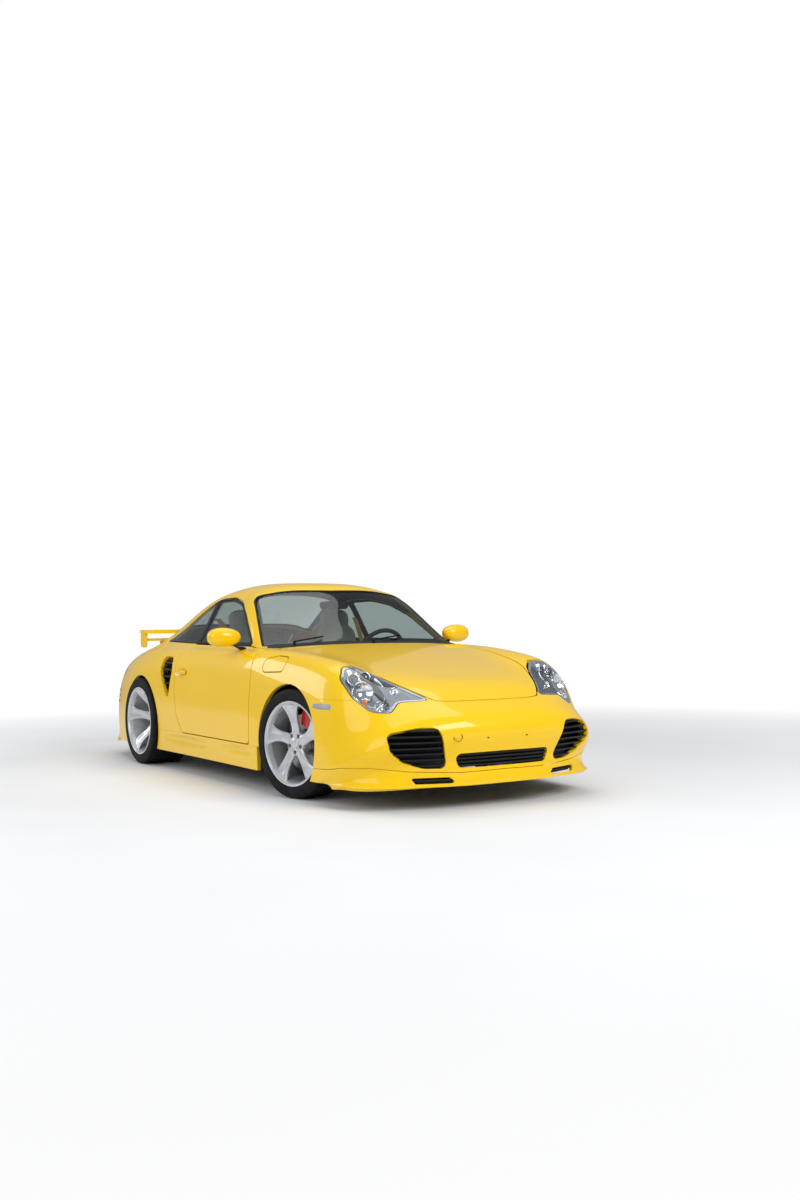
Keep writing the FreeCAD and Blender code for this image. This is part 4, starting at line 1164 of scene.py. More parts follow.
@dataclass
class Bodywork:
    """The painted panels, each a piece of one smooth skin cut along its shut lines."""

    skin: Skin
    step: float = 0.0185
    fine: float = 0.0135
    gap: float = GAP
    fit: float = 0.0003
    flap_gap: float = 0.0052
    flap_thick: float = 0.006
    door_top: float = 0.878
    seam_x: tuple = (0, 0.30, 0.55, 0.74, 0.83, 0.87)
    seam_z: tuple = (0.203, 0.200, 0.213, 0.235, 0.228, 0.190)
    seam_gap: float = 0.0012
    frame_inset: float = 0.014
    frame_layer: tuple = (0.054, 0.0235, 0.003)
    # Depth of the hollows, then each one's middle and half size along the car and up
    handle_hollow: tuple = (0.012, (1.600, 0.692, 0.105, 0.034))
    skirt_hollows: tuple = (0.011, (1.515, 0.224, 0.41, 0.036), (0.680, 0.230, 0.25, 0.026))
    skirt_u: tuple = (9.0, 21.0)
    skirt_v: tuple = (13.0, 16.0)
    handle_at: tuple = (0.8745, 1.602, 0.693)
    handle_half: tuple = (0.010, 0.088, 0.014)
    pipes_x: float = 0.56
    pipes_half: float = 0.11
    pipes_top: float = 0.262
    pipes_y: float = 3.2

    def __post_init__(self) -> None:
        """Lays the grids that most panels are cut from."""
        self.left = self.skin.patch(self.step, CAR_U, LEFT_V)
        self.both = self.skin.patch(self.step, CAR_U, CAR_V)

    def build(self) -> None:
        """Builds every panel and gives it paint."""
        self.bonnet()
        self.wings()
        self.front_bumper()
        self.skirts()
        self.doors()
        self.shell()
        self.engine_lid()
        self.rear_bumper()

    def cut(self, base: Patch, fields: Sequence[Field], thick: float = SKIN_T, relief: Field | None = None) -> Shape:
        """A panel's mesh: the patch cut by the fields, each pulled in by the rolled edge.

        Args:
            base: the grid.
            fields: what the panel keeps.
            thick: metres from face to back.
            relief: how far the panel stands out of the smooth skin, by place.

        Returns:
            The mesh.
        """
        for field in fields:
            base = self.skin.clip(base, lambda p, f=field: f(p) + BEND)
        return panel_mesh(Skin(relief) if relief else self.skin, base, thick)

    def bonnet(self) -> None:
        """The front lid, cut round the headlamps."""
        shape = self.cut(self.both, [inside(BONNET, fold=False), LID_FACE, hole(LAMP, self.gap, LAMP_FACE)])
        piece("bonnet_panel", "bonnet_lid", Finish.PAINT, shape, ["bonnet"])

    def wings(self) -> None:
        """Both front wings, with the filler recess in the right one, and the filler's flap."""
        corner = any_of(below(1, DOOR_FRONT - self.gap), all_of(below(1, DOOR_FRONT), above(2, self.door_top)))
        fields = [below(1, DOOR_FRONT), corner, above(2, SKIRT_TOP), any_of(above(1, 0.0), above(2, BUMPER_TOP)),
                  hole(BONNET, self.gap, LID_FACE), FRONT_ARCH, hole(LAMP, self.fit, LAMP_FACE)]
        left = self.cut(self.left, fields)
        right = flipped(*self.cut(self.left, [*fields, outside(FUEL_FLAP)]))
        piece("front_wing_panels", "chassis", Finish.PAINT, joined(left, right), ["front_wings"])
        flap = flipped(*self.cut(self.left, [inside(FUEL_FLAP, -self.flap_gap)], self.flap_thick))
        piece("fuel_flap_panel", "fuel_door", Finish.PAINT, flap, ["fuel_flap"])

    def front_bumper(self) -> None:
        """The front bumper with its inlets cut, and the lip under its seam."""
        whole = self.skin.patch(self.fine, NOSE_U, CAR_V)
        fields = [below(1, 0.0), below(2, BUMPER_TOP), FRONT_ARCH, hole(LAMP, self.fit, LAMP_FACE),
                  hole(BONNET, self.gap, LID_FACE), hole(CORNER_INLET, 0, FRONT_FACE),
                  hole(LIP_SLOT, 0, FRONT_FACE), hole(CENTRE_SLOT, 0, FRONT_FACE), outside(MARKER)]
        upper = self.cut(whole, [*fields, lambda p: self.lip_seam(p) + self.seam_gap - p[:, 2]])
        lower = self.cut(whole, [*fields, lambda p: p[:, 2] - self.lip_seam(p) + self.seam_gap])
        piece("front_bumper_panel", "chassis", Finish.PAINT, upper, ["front_bumper"])
        piece("front_lip_panel", "chassis", Finish.PAINT, lower)

    def lip_seam(self, p: Array) -> Array:
        """Height of the seam above the front lip, by the distance from the car's middle."""
        return np.interp(np.abs(p[:, 0]), self.seam_x, self.seam_z)

    def skirts(self) -> None:
        """The sills between the wheels."""
        fine = self.skin.patch(self.step / 2, self.skirt_u, self.skirt_v)
        fields = [above(1, 0.0), below(1, WHEELBASE), below(2, SKIRT_TOP), FRONT_ARCH, REAR_ARCH]
        left = self.cut(fine, fields, relief=self.skirt_dish)
        piece("skirt_panels", "chassis", Finish.PAINT, pair(left), ["side_skirts"])

    def doors(self) -> None:
        """Both doors: the outer panel dished behind its handle, the frame inside it and the handle."""
        left = self.cut(self.left, [inside(DOOR), inside(DOOR_LIMIT)], relief=self.handle_dish)
        inner = all_of(inside(DOOR, -self.frame_inset), inside(DOOR_LIMIT, -self.frame_inset), OUTER_SIDE)
        inner_frame = self.skin.plate(self.left, inner, *self.frame_layer)
        grip = moved(pillow(self.handle_half, 3.0, 24), self.handle_at)
        for side, turn in SIDES:
            body = f"{side}_door"
            piece(f"{body}_panel", body, Finish.PAINT, turn(left), [f"door_{side}"])
            piece(f"{body}_frame", body, Finish.DASH, turn(inner_frame))
            piece(f"{body}_handle", body, Finish.PAINT, turn(grip))

    def handle_dish(self, p: Array) -> Array:
        """A shallow oval dish round the handle, its depth falling off smoothly from the middle."""
        depth, place = self.handle_hollow
        return -depth * dish(p, *place) * (np.abs(p[:, 0]) > FLANK_X)

    def skirt_dish(self, p: Array) -> Array:
        """Two long oval hollows low on each side."""
        depth, *hollows = self.skirt_hollows
        return -depth * sum(dish(p, *place) for place in hollows)

    def shell(self) -> None:
        """The roof, pillars and rear quarters in one."""
        opening = all_of(inside(SIDE_GLASS), inside(SIDE_LIMIT))
        door = all_of(inside(DOOR, self.gap), inside(DOOR_LIMIT, self.gap))
        fields = [above(1, DOOR_FRONT), above(2, SKIRT_TOP), hole(BONNET, self.gap, LID_FACE),
                  hole(COWL, self.fit, GLASS_FACE), hole(WINDSCREEN, 0, GLASS_FACE), hole(REAR_WINDOW, 0, GLASS_FACE),
                  hole(ENGINE_LID, self.gap, LOW_LID_FACE), lambda p: -opening(p), lambda p: -door(p),
                  hole(SIDE_INTAKE, 0, both_flanks), any_of(below(1, REAR_BUMPER_Y), above(2, REAR_BUMPER_TOP)),
                  REAR_ARCH, hole(TAIL_LAMP, self.fit, TAIL_FACE)]
        piece("body_shell_panel", "chassis", Finish.PAINT, self.cut(self.both, fields), ["body_shell"])

    def engine_lid(self) -> None:
        """The rear lid."""
        shape = self.cut(self.both, [inside(ENGINE_LID, fold=False), LID_FACE])
        piece("engine_lid_panel", "rear_lid", Finish.PAINT, shape, ["engine_lid"])

    def rear_bumper(self) -> None:
        """The rear bumper with its two exhaust cut-outs."""
        pipes = all_of(lambda p: np.abs(np.abs(p[:, 0]) - self.pipes_x) - self.pipes_half, below(2, self.pipes_top),
                       above(1, self.pipes_y))
        fields = [above(1, REAR_BUMPER_Y), below(2, REAR_BUMPER_TOP), REAR_ARCH, lambda p: -pipes(p)]
        shape = self.cut(self.both, fields)
        piece("rear_bumper_panel", "chassis", Finish.PAINT, shape, ["rear_bumper"])


@dataclass
class Glazing:
    """Every pane with its dark printed border and its rubber, and the black posts between the side panes."""

    skin: Skin
    step: float = 0.026
    fit: float = 0.0008
    screen_widths: tuple = (0.030, 0.011)
    door_widths: tuple = (0.020, 0.009)
    quarter_widths: tuple = (0.022, 0.009)
    door_end: float = 1.668
    post: tuple = (1.674, 1.714)
    post_fit: float = 0.0016
    post_depth: float = 0.0005

    def __post_init__(self) -> None:
        """Lays the grids that the panes are cut from."""
        self.left = self.skin.patch(self.step, CAR_U, LEFT_V)
        self.both = self.skin.patch(self.step, CAR_U, CAR_V)

    def build(self) -> None:
        """Builds both screens, the door panes and the quarter panes."""
        for name, outline in (("windscreen", WINDSCREEN), ("rear_window", REAR_WINDOW)):
            edge = all_of(inside(outline, -self.fit, False), GLASS_FACE)
            names = [f"{name}_{part}" for part in ("pane", "border", "rubber")]
            self.fitted(names, "chassis", self.layers(self.both, edge, edge, self.screen_widths), name)
        self.door_panes()
        self.quarter_panes()

    def layers(self, base: Patch, whole: Field, edge: Field, widths: Sequence[float],
               seal: Sequence[float] = SEAL) -> list[Shape]:
        """The meshes of a pane, its printed border and its rubber.

        Args:
            base: the grid.
            whole: keeps the pane.
            edge: the edge that the border and the rubber follow, on its inner side.
            widths: width of the border and of the rubber.
            seal: thickness, depth and edge radius of the rubber.

        Returns:
            The three meshes.
        """
        pane = self.skin.clip(base, whole)
        bands = [self.skin.clip(pane, lambda p, w=width: -edge(p) - w) for width in widths]
        return [panel_mesh(self.skin, part, *layer) for part, layer in zip((pane, *bands), (PANE, PRINT, seal))]

    def fitted(self, names: Sequence[str], body: str, shapes: Sequence[Shape], node: str) -> None:
        """Makes the pieces of a pane, its border and its rubber.

        Args:
            names: their three names.
            body: the body that carries them.
            shapes: their three meshes.
            node: the CAD pane that they stand for.
        """
        piece(names[0], body, Finish.GLASS, shapes[0], [node])
        piece(names[1], body, Finish.DARK, shapes[1])
        piece(names[2], body, Finish.BLACK_TRIM, shapes[2])

    def door_panes(self) -> None:
        """The door panes, whose borders follow the side glass's edge only."""
        edge = inside(SIDE_GLASS, -GAP)
        whole = all_of(edge, inside(SIDE_LIMIT, -GAP), below(1, self.door_end), LEFT_SIDE)
        shapes = self.layers(self.left, whole, edge, self.door_widths, DOOR_SEAL)
        for side, turn in SIDES:
            names = [f"door_pane{part}_{side}" for part in ("", "_border", "_rubber")]
            self.fitted(names, f"{side}_door", [turn(s) for s in shapes], f"door_glass_{side}")

    def quarter_panes(self) -> None:
        """The rear quarter panes and the posts in front of them."""
        glass = all_of(inside(SIDE_GLASS, -self.fit), inside(SIDE_LIMIT, -self.fit))
        rear = all_of(glass, above(1, self.post[1]), LEFT_SIDE)
        edge = all_of(inside(SIDE_GLASS, -self.fit), above(1, self.post[1]))
        shapes = [pair(s) for s in self.layers(self.left, rear, edge, self.quarter_widths)]
        self.fitted(("quarter_panes", "quarter_borders", "quarter_rubbers"), "chassis", shapes, "quarter_windows")
        post = all_of(glass, above(1, self.post[0]), below(1, self.post[1] - self.post_fit), LEFT_SIDE)
        bar = self.skin.plate(self.left, post, SKIN_T, self.post_depth)
        piece("door_posts", "chassis", Finish.BLACK_TRIM, pair(bar))


@dataclass
class Headlamps:
    """Both headlamps: a clear cover over a bright tray with two projectors, a faceted bowl and small lamps."""

    skin: Skin
    grid: tuple = (0.0105, NOSE_LAMP_U, (9.0, 15.0))
    gap: float = 0.0035
    cover: tuple = (0.003, 0.0, 0.001)
    border: float = 0.006
    border_layer: tuple = (0.004, 0.0036, 0.0008)
    tray_edge: float = 0.004
    tray_rise: float = 0.040
    tray_least: float = 0.006
    tray_depth: float = 0.062
    tray_inward: float = 0.35
    tray_into: tuple = (0.0, 0.65, -0.05)
    tray_wall: float = 0.003
    inner_x: float = 0.590
    inner_layer: tuple = (0.003, 0.009, 0.001)
    ahead: tuple = (0.30, -0.92, 0.22)
    eyes: tuple = ((0.690, -0.532, 0.708), (0.622, -0.539, 0.717))
    eye_r: float = 0.025
    eye_rise: float = 0.014
    eye_sink: float = 0.026
    sink_drop: float = 0.35
    facet: float = 0.0025
    # Radius, depth, facets, place and depth under the cover of each dish
    dishes: tuple = ((0.058, 0.030, 9, (0.672, -0.612, 0.640), 0.042), (0.026, 0.014, 5, (0.632, -0.712, 0.562), 0.022),
                     (0.021, 0.010, 0, (0.528, -0.683, 0.634), 0.009))
    bar: tuple = ((0.575, -0.560, 0.700), (0.552, -0.600, 0.672), (0.570, -0.665, 0.622), (0.604, -0.718, 0.572),
                  (0.640, -0.722, 0.545))
    bar_shift: tuple = (0.0, 0.010, -0.004)
    bar_half: tuple = (0.006, 0.010)
    amber_half: tuple = (0.026, 0.016, 0.006)
    amber_at: tuple = (0.692, -0.655, 0.578)
    amber_sink: float = 0.020

    def build(self) -> None:
        """Builds the covers, borders, trays and lamps."""
        base = self.skin.patch(*self.grid)
        whole = all_of(inside(LAMP, -self.gap), LAMP_FACE, hole(BONNET, GAP, LOW_LID_FACE))
        lens = self.skin.clip(base, whole)
        cover = panel_mesh(self.skin, lens, *self.cover)
        piece("headlamp_covers", "chassis", Finish.LAMP_CLEAR, pair(cover), ["headlamps"])
        trim = self.skin.plate(lens, lambda p: -whole(p) - self.border, *self.border_layer)
        piece("headlamp_borders", "chassis", Finish.TRAY, pair(trim))
        self.trays(base, whole)
        self.lights()

    def trays(self, base: Patch, whole: Field) -> None:
        """The bright tray, the skin pushed in by a depth that eases in from the lamp's edge, and its dark inner part.

        Args:
            base: the grid.
            whole: keeps the lamp.
        """
        patch = self.skin.clip(base, lambda p: whole(p) + self.tray_edge)
        p, n = self.skin.frame_at(patch.uv)
        deep = self.tray_least + self.tray_depth * ease(-whole(p) / self.tray_rise)
        into = -n * self.tray_inward + np.array(self.tray_into)
        front = p + into * deep[:, None]
        tray = sheet(patch, front, front + into * self.tray_wall)
        piece("headlamp_trays", "chassis", Finish.TRAY, pair(tray))
        shield = self.skin.plate(patch, below(0, self.inner_x), *self.inner_layer)
        piece("headlamp_inner_parts", "chassis", Finish.DUSK, pair(shield))

    def place(self, shape: Shape, at: Sequence[float], sink: float) -> Shape:
        """A lamp whose X axis looks out, sunk under a place on the cover, for both sides."""
        return pair(facing(shape, self.ahead, np.array(at) + np.array([0.0, sink, -sink * self.sink_drop])))

    def reflector(self, r: float, deep: float, facets: int) -> Shape:
        """A dish whose depth grows with the square of the radius, with raised radial facets.

        Args:
            r: radius.
            deep: depth.
            facets: half the number of facets, or 0 for a smooth dish.

        Returns:
            The mesh.
        """
        wall = 0.003
        s = np.linspace(0.02, 1, 10)
        face = np.stack([deep * s ** 2, r * s], 1)
        back = np.stack([deep * s[::-1] ** 2 - wall, (r + wall) * s[::-1]], 1)
        points, tris, _ = lathe(np.concatenate([face, back]), 40, False)
        if facets:
            turn = np.arctan2(points[:, 2], points[:, 1])
            far = np.hypot(points[:, 1], points[:, 2]) / r
            points = points + np.array([1.0, 0, 0]) * (self.facet * far * np.abs(np.sin(turn * facets)))[:, None]
        return points, tris, None

    def lights(self) -> None:
        """The projectors in their rings, the dishes, the bright bar between them and the amber lamps."""
        s = np.linspace(0, math.pi / 2 - 0.04, 12)
        back = np.array([(-0.012, 0.0005), (-0.012, self.eye_r)])
        dome = np.concatenate([back, np.stack([self.eye_rise * np.sin(s), self.eye_r * np.cos(s)], 1)])
        ring = Outline(Plane.FRONT, ((-24, 25, 3), (6, 28, 3), (6, 34, 3), (-24, 32, 3))).polyline()
        bright = [self.place(lathe(ring, 36), at, self.eye_sink) for at in self.eyes]
        bright += [self.place(self.reflector(*size), at, sink) for *size, at, sink in self.dishes]
        lines = curve(self.bar, 30) + np.array(self.bar_shift)
        a, b = oval(16, 2.5)
        section = np.stack([a * self.bar_half[0], a * 0, b * self.bar_half[1]], 1)
        bright.append(pair(net(lines[:, None, :] + section[None])))
        piece("headlamp_reflectors", "chassis", Finish.CHROME, joined(*bright))
        eyes = [self.place(lathe(dome, 32, False), at, self.eye_sink) for at in self.eyes]
        piece("headlamp_projectors", "chassis", Finish.LENS, joined(*eyes))
        amber = self.place(turned(pillow(self.amber_half), "Y", math.pi / 2), self.amber_at, self.amber_sink)
        piece("headlamp_indicators", "chassis", Finish.AMBER, amber)


@dataclass(frozen=True)
class Axle:
    """What both wheels of an axle share: places along and across the car, sizes and the angle that they are steered."""

    y: float
    x: float
    radius: float
    width: float
    rim_half: float
    hub: float
    disc: float
    steer: float = 0.0


FRONT_AXLE = Axle(0.0, FRONT_TRACK / 2, FRONT_TYRE_R, 0.225, 0.1095, 0.078, -0.010, REST_STEER)
REAR_AXLE = Axle(WHEELBASE, REAR_TRACK / 2, REAR_TYRE_R, 0.295, 0.146, 0.040, -0.050)


@dataclass
class Wheel:
    """One road wheel: tyre, five-spoke rim, hub, bolts, and painted shade in its bolt holes and disc's drill holes."""

    name: str
    axle: Axle
    left: bool
    spokes: int = 5
    bolt_ring: float = 0.052
    bolt_r: float = 0.0082
    # Radius of the dark disc of painted shade in each bolt hole
    bolt_shade_r: float = 0.0115
    disc_face: float = 0.0162
    # Radius of the dark dots of painted shade for the disc's drilled holes
    drill_shade_r: float = 0.0034
    grooves: tuple = (0.026, 0.066)
    groove_half: float = 0.005
    groove_depth: float = 0.006
    slot_pitches: int = 54
    slot_share: float = 2 / 7
    slot_lean: float = 14.0
    slot_depth: float = 0.004
    slot_from: float = 0.034
    drill_shade_rings: tuple = (0.104, 0.124, 0.146)
    drill_shade_count: int = 18

    def placed(self, shape: Shape) -> Shape:
        """The mesh moved from the wheel's own axes to the car, on its side and steered as at rest.

        Args:
            shape: a mesh about the left wheel's centre, with the axle along X.

        Returns:
            The mesh.
        """
        points, tris, _ = moved(shape, (self.axle.x, self.axle.y, self.axle.radius))
        if not self.left:
            points, tris, _ = flipped(points, tris, None)
        if self.axle.steer:
            pin = np.array([KINGPIN_X if self.left else -KINGPIN_X, 0.0, 0.0])
            points = (points - pin) @ np.array(Matrix.Rotation(self.axle.steer, 3, "Z")).T + pin
        return points, tris, None

    def build(self) -> None:
        """Builds the wheel's pieces."""
        body = f"wheel_{self.name}"
        piece(f"{body}_tyre", body, Finish.TYRE, self.placed(self.tyre()), [f"tyre_{self.name}"])
        turns = [turned(self.spoke(), "X", k * math.tau / self.spokes) for k in range(self.spokes)]
        metal = joined(self.rim(), self.boss(), *turns)
        piece(f"{body}_alloy", body, Finish.RIM, self.placed(metal), [f"rim_{self.name}"])
        # Painted shade: dark discs in the bolt holes and dark dots for the disc's drilled holes
        piece(f"{body}_wells", body, Finish.DARK, self.placed(self.wells()))
        piece(f"{body}_bolts", body, Finish.STEEL, self.placed(self.bolts()))

    def tyre(self) -> Shape:
        """A tyre section turned about the axle, its tread cut by round grooves and by slanted slots.

        Two of every seven parts of each pitch round the tread are slot, and the slots lean back from the middle.

        Returns:
            The mesh.
        """
        h, r, rim, steps = self.axle.width / 2, self.axle.radius, self.axle.rim_half, 162
        x = np.linspace(-h + 0.018, h - 0.018, 34)
        crown = r - 0.5 * (x / h) ** 4 * 0.006
        wall = np.array([(h - 0.010, r - 0.004), (h - 0.002, r - 0.016), (h, r - 0.030), (h, r - 0.046),
                         (h - 0.001, r - 0.060), (rim - 0.002, 0.255), (rim - 0.006, 0.2505), (rim - 0.010, 0.248),
                         (rim - 0.012, 0.236), (rim - 0.022, 0.231)])
        wall[:, 0] = np.minimum(wall[:, 0], h)
        profile = np.concatenate([np.stack([x, crown], 1), wall, (wall * [-1, 1])[::-1]])
        turn = np.linspace(0, math.tau, steps, endpoint=False)
        radius = np.repeat(profile[:, 1][:, None], steps, 1)
        tread = np.arange(len(profile))[:, None] < len(x)
        px = profile[:, 0][:, None]
        off = np.abs(px)
        ring = np.min([np.abs(off - groove) for groove in self.grooves], axis=0) < self.groove_half
        slot = np.mod(turn[None] * self.slot_pitches / math.tau + off * self.slot_lean, 1.0) < self.slot_share
        cut = np.where(tread & slot & (off > self.slot_from), self.slot_depth, 0.0)
        radius = radius - np.where(tread & ring, self.groove_depth, cut)
        points = np.stack([np.repeat(px, steps, 1), radius * np.cos(turn), radius * np.sin(turn)], 2)
        return net(points, True, True, False)

    def rim(self) -> Shape:
        """The barrel and its lips, a closed section turned about the axle.

        Returns:
            The mesh.
        """
        w = self.axle.rim_half * 1000
        loop = Outline(Plane.FRONT, ((w, 248.5, 2.5), (w, 239, 4), (w - 10, 230, 8), (w - 34, 220, 8), (-20, 207, 12),
                                     (-w + 14, 226, 8), (-w, 236, 4), (-w, 248.5, 2.5), (-w + 6.8, 248.5, 2),
                                     (-w + 13.4, 231, 4), (-20, 214, 10), (w - 34, 226, 6), (w - 13.4, 232, 4),
                                     (w - 6.8, 248.5, 2)))
        return lathe(loop.polyline(), 72)

    def spoke(self) -> Shape:
        """A twisted spoke: a rounded section that moves out along the radius, leans over and widens into the rim.

        Returns:
            The mesh of the spoke that stands straight up.
        """
        s = np.linspace(0, 1, 18)[:, None]
        radius = 0.052 + s * 0.174
        mid_x = (self.axle.hub - 0.017) * (1 - ease(s)) + (self.axle.rim_half - 0.024) * ease(s)
        half_w = 0.032 + 0.003 * np.cos(s * 5.5) + 0.042 * s ** 3
        half_d = 0.017 - 0.005 * s
        lean = 0.10 + 0.30 * s
        a, b = (c[None] for c in oval(28, 2.8))
        hollow = np.clip(np.sin((s - 0.35) * math.pi / 0.62), 0, 1) * np.clip(1 - (a / 0.62) ** 2, 0, 1) * (b > 0)
        y = a * half_w * np.cos(lean) - b * half_d * np.sin(lean) + 0.034 * s ** 2
        x = mid_x + (a * half_w * np.sin(lean) * 0.35 + b * half_d * np.cos(lean)) - 0.010 * hollow
        return net(np.stack([x, y, np.repeat(radius, 28, 1)], 2))

    def boss(self) -> Shape:
        """The hub's face with its round cap, as a section from the axle to the axle.

        Returns:
            The mesh.
        """
        h = self.axle.hub * 1000
        face = [(h - 60, 0.5), (h - 60, 74), (h - 16, 76), (h - 5, 70), (h - 2, 60), (h - 2, 38), (h - 5, 33),
                (h - 4, 31), (h + 2, 30), (h + 5, 24), (h + 7, 12), (h + 7.5, 0.5)]
        return lathe(np.array(face) * MM, 60, False)

    def ring_of(self, shape: Shape) -> Shape:
        """Copies of a mesh at the bolts' places, between the spokes."""
        turns = [(k + 0.5) * math.tau / self.spokes for k in range(self.spokes)]
        return joined(*[moved(shape, (0, -math.sin(a) * self.bolt_ring, math.cos(a) * self.bolt_ring)) for a in turns])

    def wells(self) -> Shape:
        """Painted shade: dark discs in the bolt holes, and three rings of dark dots for the disc's drilled holes.

        Returns:
            The mesh.
        """
        h, face = self.axle.hub, self.axle.disc + self.disc_face
        marks = [self.ring_of(plug(h - 0.012, h - 0.0012, self.bolt_shade_r, 20, 0.0005))]
        dot = plug(face - 0.002, face, self.drill_shade_r, 8, 0.0002)
        for ring, r in enumerate(self.drill_shade_rings):
            turns = [math.tau * (k + ring * 0.33) / self.drill_shade_count for k in range(self.drill_shade_count)]
            marks += [moved(dot, (0, math.cos(a) * r, math.sin(a) * r)) for a in turns]
        return joined(*marks)

    def bolts(self) -> Shape:
        """The hexagonal bolt heads.

        Returns:
            The mesh.
        """
        h, r = self.axle.hub, self.bolt_r
        head = np.array([(h - 0.010, 0.0004), (h - 0.010, r), (h - 0.0002, r - 0.0004), (h + 0.0008, 0.0066),
                         (h + 0.0008, 0.0004)])
        return self.ring_of(lathe(head, 6, False))


@dataclass
class Outside:
    """Mirrors, rear wing, tail lamps, exhaust tips, side lamps, side intakes and small marks, some of them painted
    shade.
    """

    skin: Skin
    mirror_at: tuple = (0.889, 0.812, 0.936)
    mirror_turn: float = math.radians(8)
    mirror_half: float = 0.1065
    mirror_r: float = 0.0605
    mirror_back: float = 0.028
    foot_path: tuple = ((0.752, 0.806, 0.858), (0.790, 0.806, 0.862), (0.832, 0.810, 0.885), (0.860, 0.812, 0.915))
    # Half span, chord's ends and height's ends of each blade
    blades: tuple = ((0.650, (2.885, 3.090), (0.952, 0.988)), (0.640, (2.940, 3.085), (0.898, 0.918)))
    # Place across, half height and middle height of each wing post
    posts: tuple = ((-0.632, 0.062, 0.908), (0.0, 0.036, 0.937), (0.632, 0.062, 0.908))
    posts_y: float = 2.990
    # Cell width and both ranges of each grid
    lamp_grid: tuple = (0.010, (14.0, 27.0), LEFT_V)
    marker_grid: tuple = (0.010, NOSE_LAMP_U, (9.0, 16.0))
    intake_grid: tuple = (0.008, (12.0, 21.0), (10.0, 15.0))
    lid_grid: tuple = (0.014, (17.0, 23.0), (4.5, 11.5))
    corner_grid: tuple = (0.010, TAIL_U, LEFT_V)
    back_grid: tuple = (0.016, TAIL_U, CAR_V)
    lamp_split: float = 0.612
    lamp_seam: float = 0.003
    lamp_thick: float = 0.018
    pipes: tuple = (-0.600, -0.520, 0.520, 0.600)
    pipe_y: float = 3.312
    pipe_z: float = 0.224
    rear_y: float = 3.0
    scoop_wall: float = 0.003
    scoop: tuple = (0.014, 0.042)
    scoop_y: tuple = (1.775, 0.120)
    vanes_z: tuple = (598, 648, 698, 748)
    vane_layer: tuple = (0.020, 0.016, 0.0012)
    marker_layer: tuple = (0.010, 0.0, 0.0012)
    lid_slots_y: range = range(2640, 2868, 38)
    corner_slots_z: tuple = (420, 464, 508)

    def build(self) -> None:
        """Builds them all."""
        self.mirrors()
        self.wing()
        self.tail_lamps()
        self.tips()
        self.markers()
        self.small_marks()
        self.intakes()
        self.back()

    def mirrors(self) -> None:
        """Egg-shaped heads cut flat behind, with glass, on black feet that narrow away from the door."""
        t = np.linspace(0, math.pi, 30)
        along = -self.mirror_half * np.cos(t) - 0.001
        radius = self.mirror_r * np.sin(t) ** 0.80 * (1 - 0.10 * np.cos(t)) + 0.0006
        a, b = oval(48, 2.3)
        head = np.stack([np.repeat(along[:, None], 48, 1), radius[:, None] * a * 1.02, radius[:, None] * b], 2)
        head[..., 1] = np.where(head[..., 1] > 0, np.minimum(head[..., 1] * 1.4, self.mirror_back), head[..., 1])
        plate = head[1:-1] * np.array([0.90, 1.0, 0.86])
        plate[..., 1] = np.clip(plate[..., 1], self.mirror_back - 0.0025, self.mirror_back + 0.0012)
        shell, glass = (turned(net(grid), "Z", self.mirror_turn, self.mirror_at) for grid in (head, plate))
        path = curve(self.foot_path, 16)
        e, f = oval(24, 3.0)
        size = np.interp(np.linspace(0, 1, 16), [0, 0.35, 1], [1.7, 1.05, 0.9])[:, None, None]
        foot = net(path[:, None, :] + np.stack([f * 0.010, e * 0.026, f * 0.010], 1)[None] * size)
        for side, turn in SIDES:
            body = f"{side}_door"
            piece(f"mirror_shell_{side}", body, Finish.PAINT, turn(shell), [f"mirror_{side}"])
            piece(f"mirror_glass_{side}", body, Finish.CHROME, turn(glass))
            piece(f"mirror_foot_{side}", body, Finish.BLACK_TRIM, turn(foot))

    def blade(self, half: float, y: Sequence[float], z: Sequence[float]) -> Shape:
        """A wing section whose chord and thickness shrink to its rounded ends.

        Args:
            half: half its span.
            y: where its chord starts and ends.
            z: where its thickness starts and ends.

        Returns:
            The mesh.
        """
        t = np.linspace(-math.pi / 2 + 0.03, math.pi / 2 - 0.03, 61)[:, None]
        fill = np.cos(t) ** (2 / 9.0)
        a, b = (c[None] for c in oval(40, 2.4))
        cy, hy = (y[0] + y[1]) / 2, (y[1] - y[0]) / 2
        cz, hz = (z[0] + z[1]) / 2, (z[1] - z[0]) / 2
        py = cy + hy * fill * a * 0.985
        lift = 0.25 * hz * a + 0.75 * hz * b * (1 + 0.225 * a)
        pz = cz + np.clip(lift, -hz, hz) * fill ** 0.5
        return net(np.stack([half * np.sin(t) + 0 * py, py, pz], 2))

    def wing(self) -> None:
        """Two blades, one over the other, on end plates and a middle post."""
        parts = [self.blade(*row) for row in self.blades]
        parts += [moved(pillow((0.011, 0.056, tall), 5.0, 16), (x, self.posts_y, mid)) for x, tall, mid in self.posts]
        piece("rear_wing_blades", "rear_lid", Finish.PAINT, joined(*parts))

    def tail_lamps(self) -> None:
        """Red lamps with a pale inner part, in the skin's own surface."""
        whole = all_of(inside(TAIL_LAMP, -0.0018), TAIL_FACE)
        base = self.skin.clip(self.skin.patch(*self.lamp_grid), whole)
        red = self.skin.plate(base, above(0, self.lamp_split), self.lamp_thick)
        pale = self.skin.plate(base, below(0, self.lamp_split - self.lamp_seam), self.lamp_thick)
        piece("tail_lamp_reds", "chassis", Finish.LAMP_RED, pair(red), ["tail_lamps"])
        piece("tail_lamp_clears", "chassis", Finish.SILVER_LENS, pair(pale))

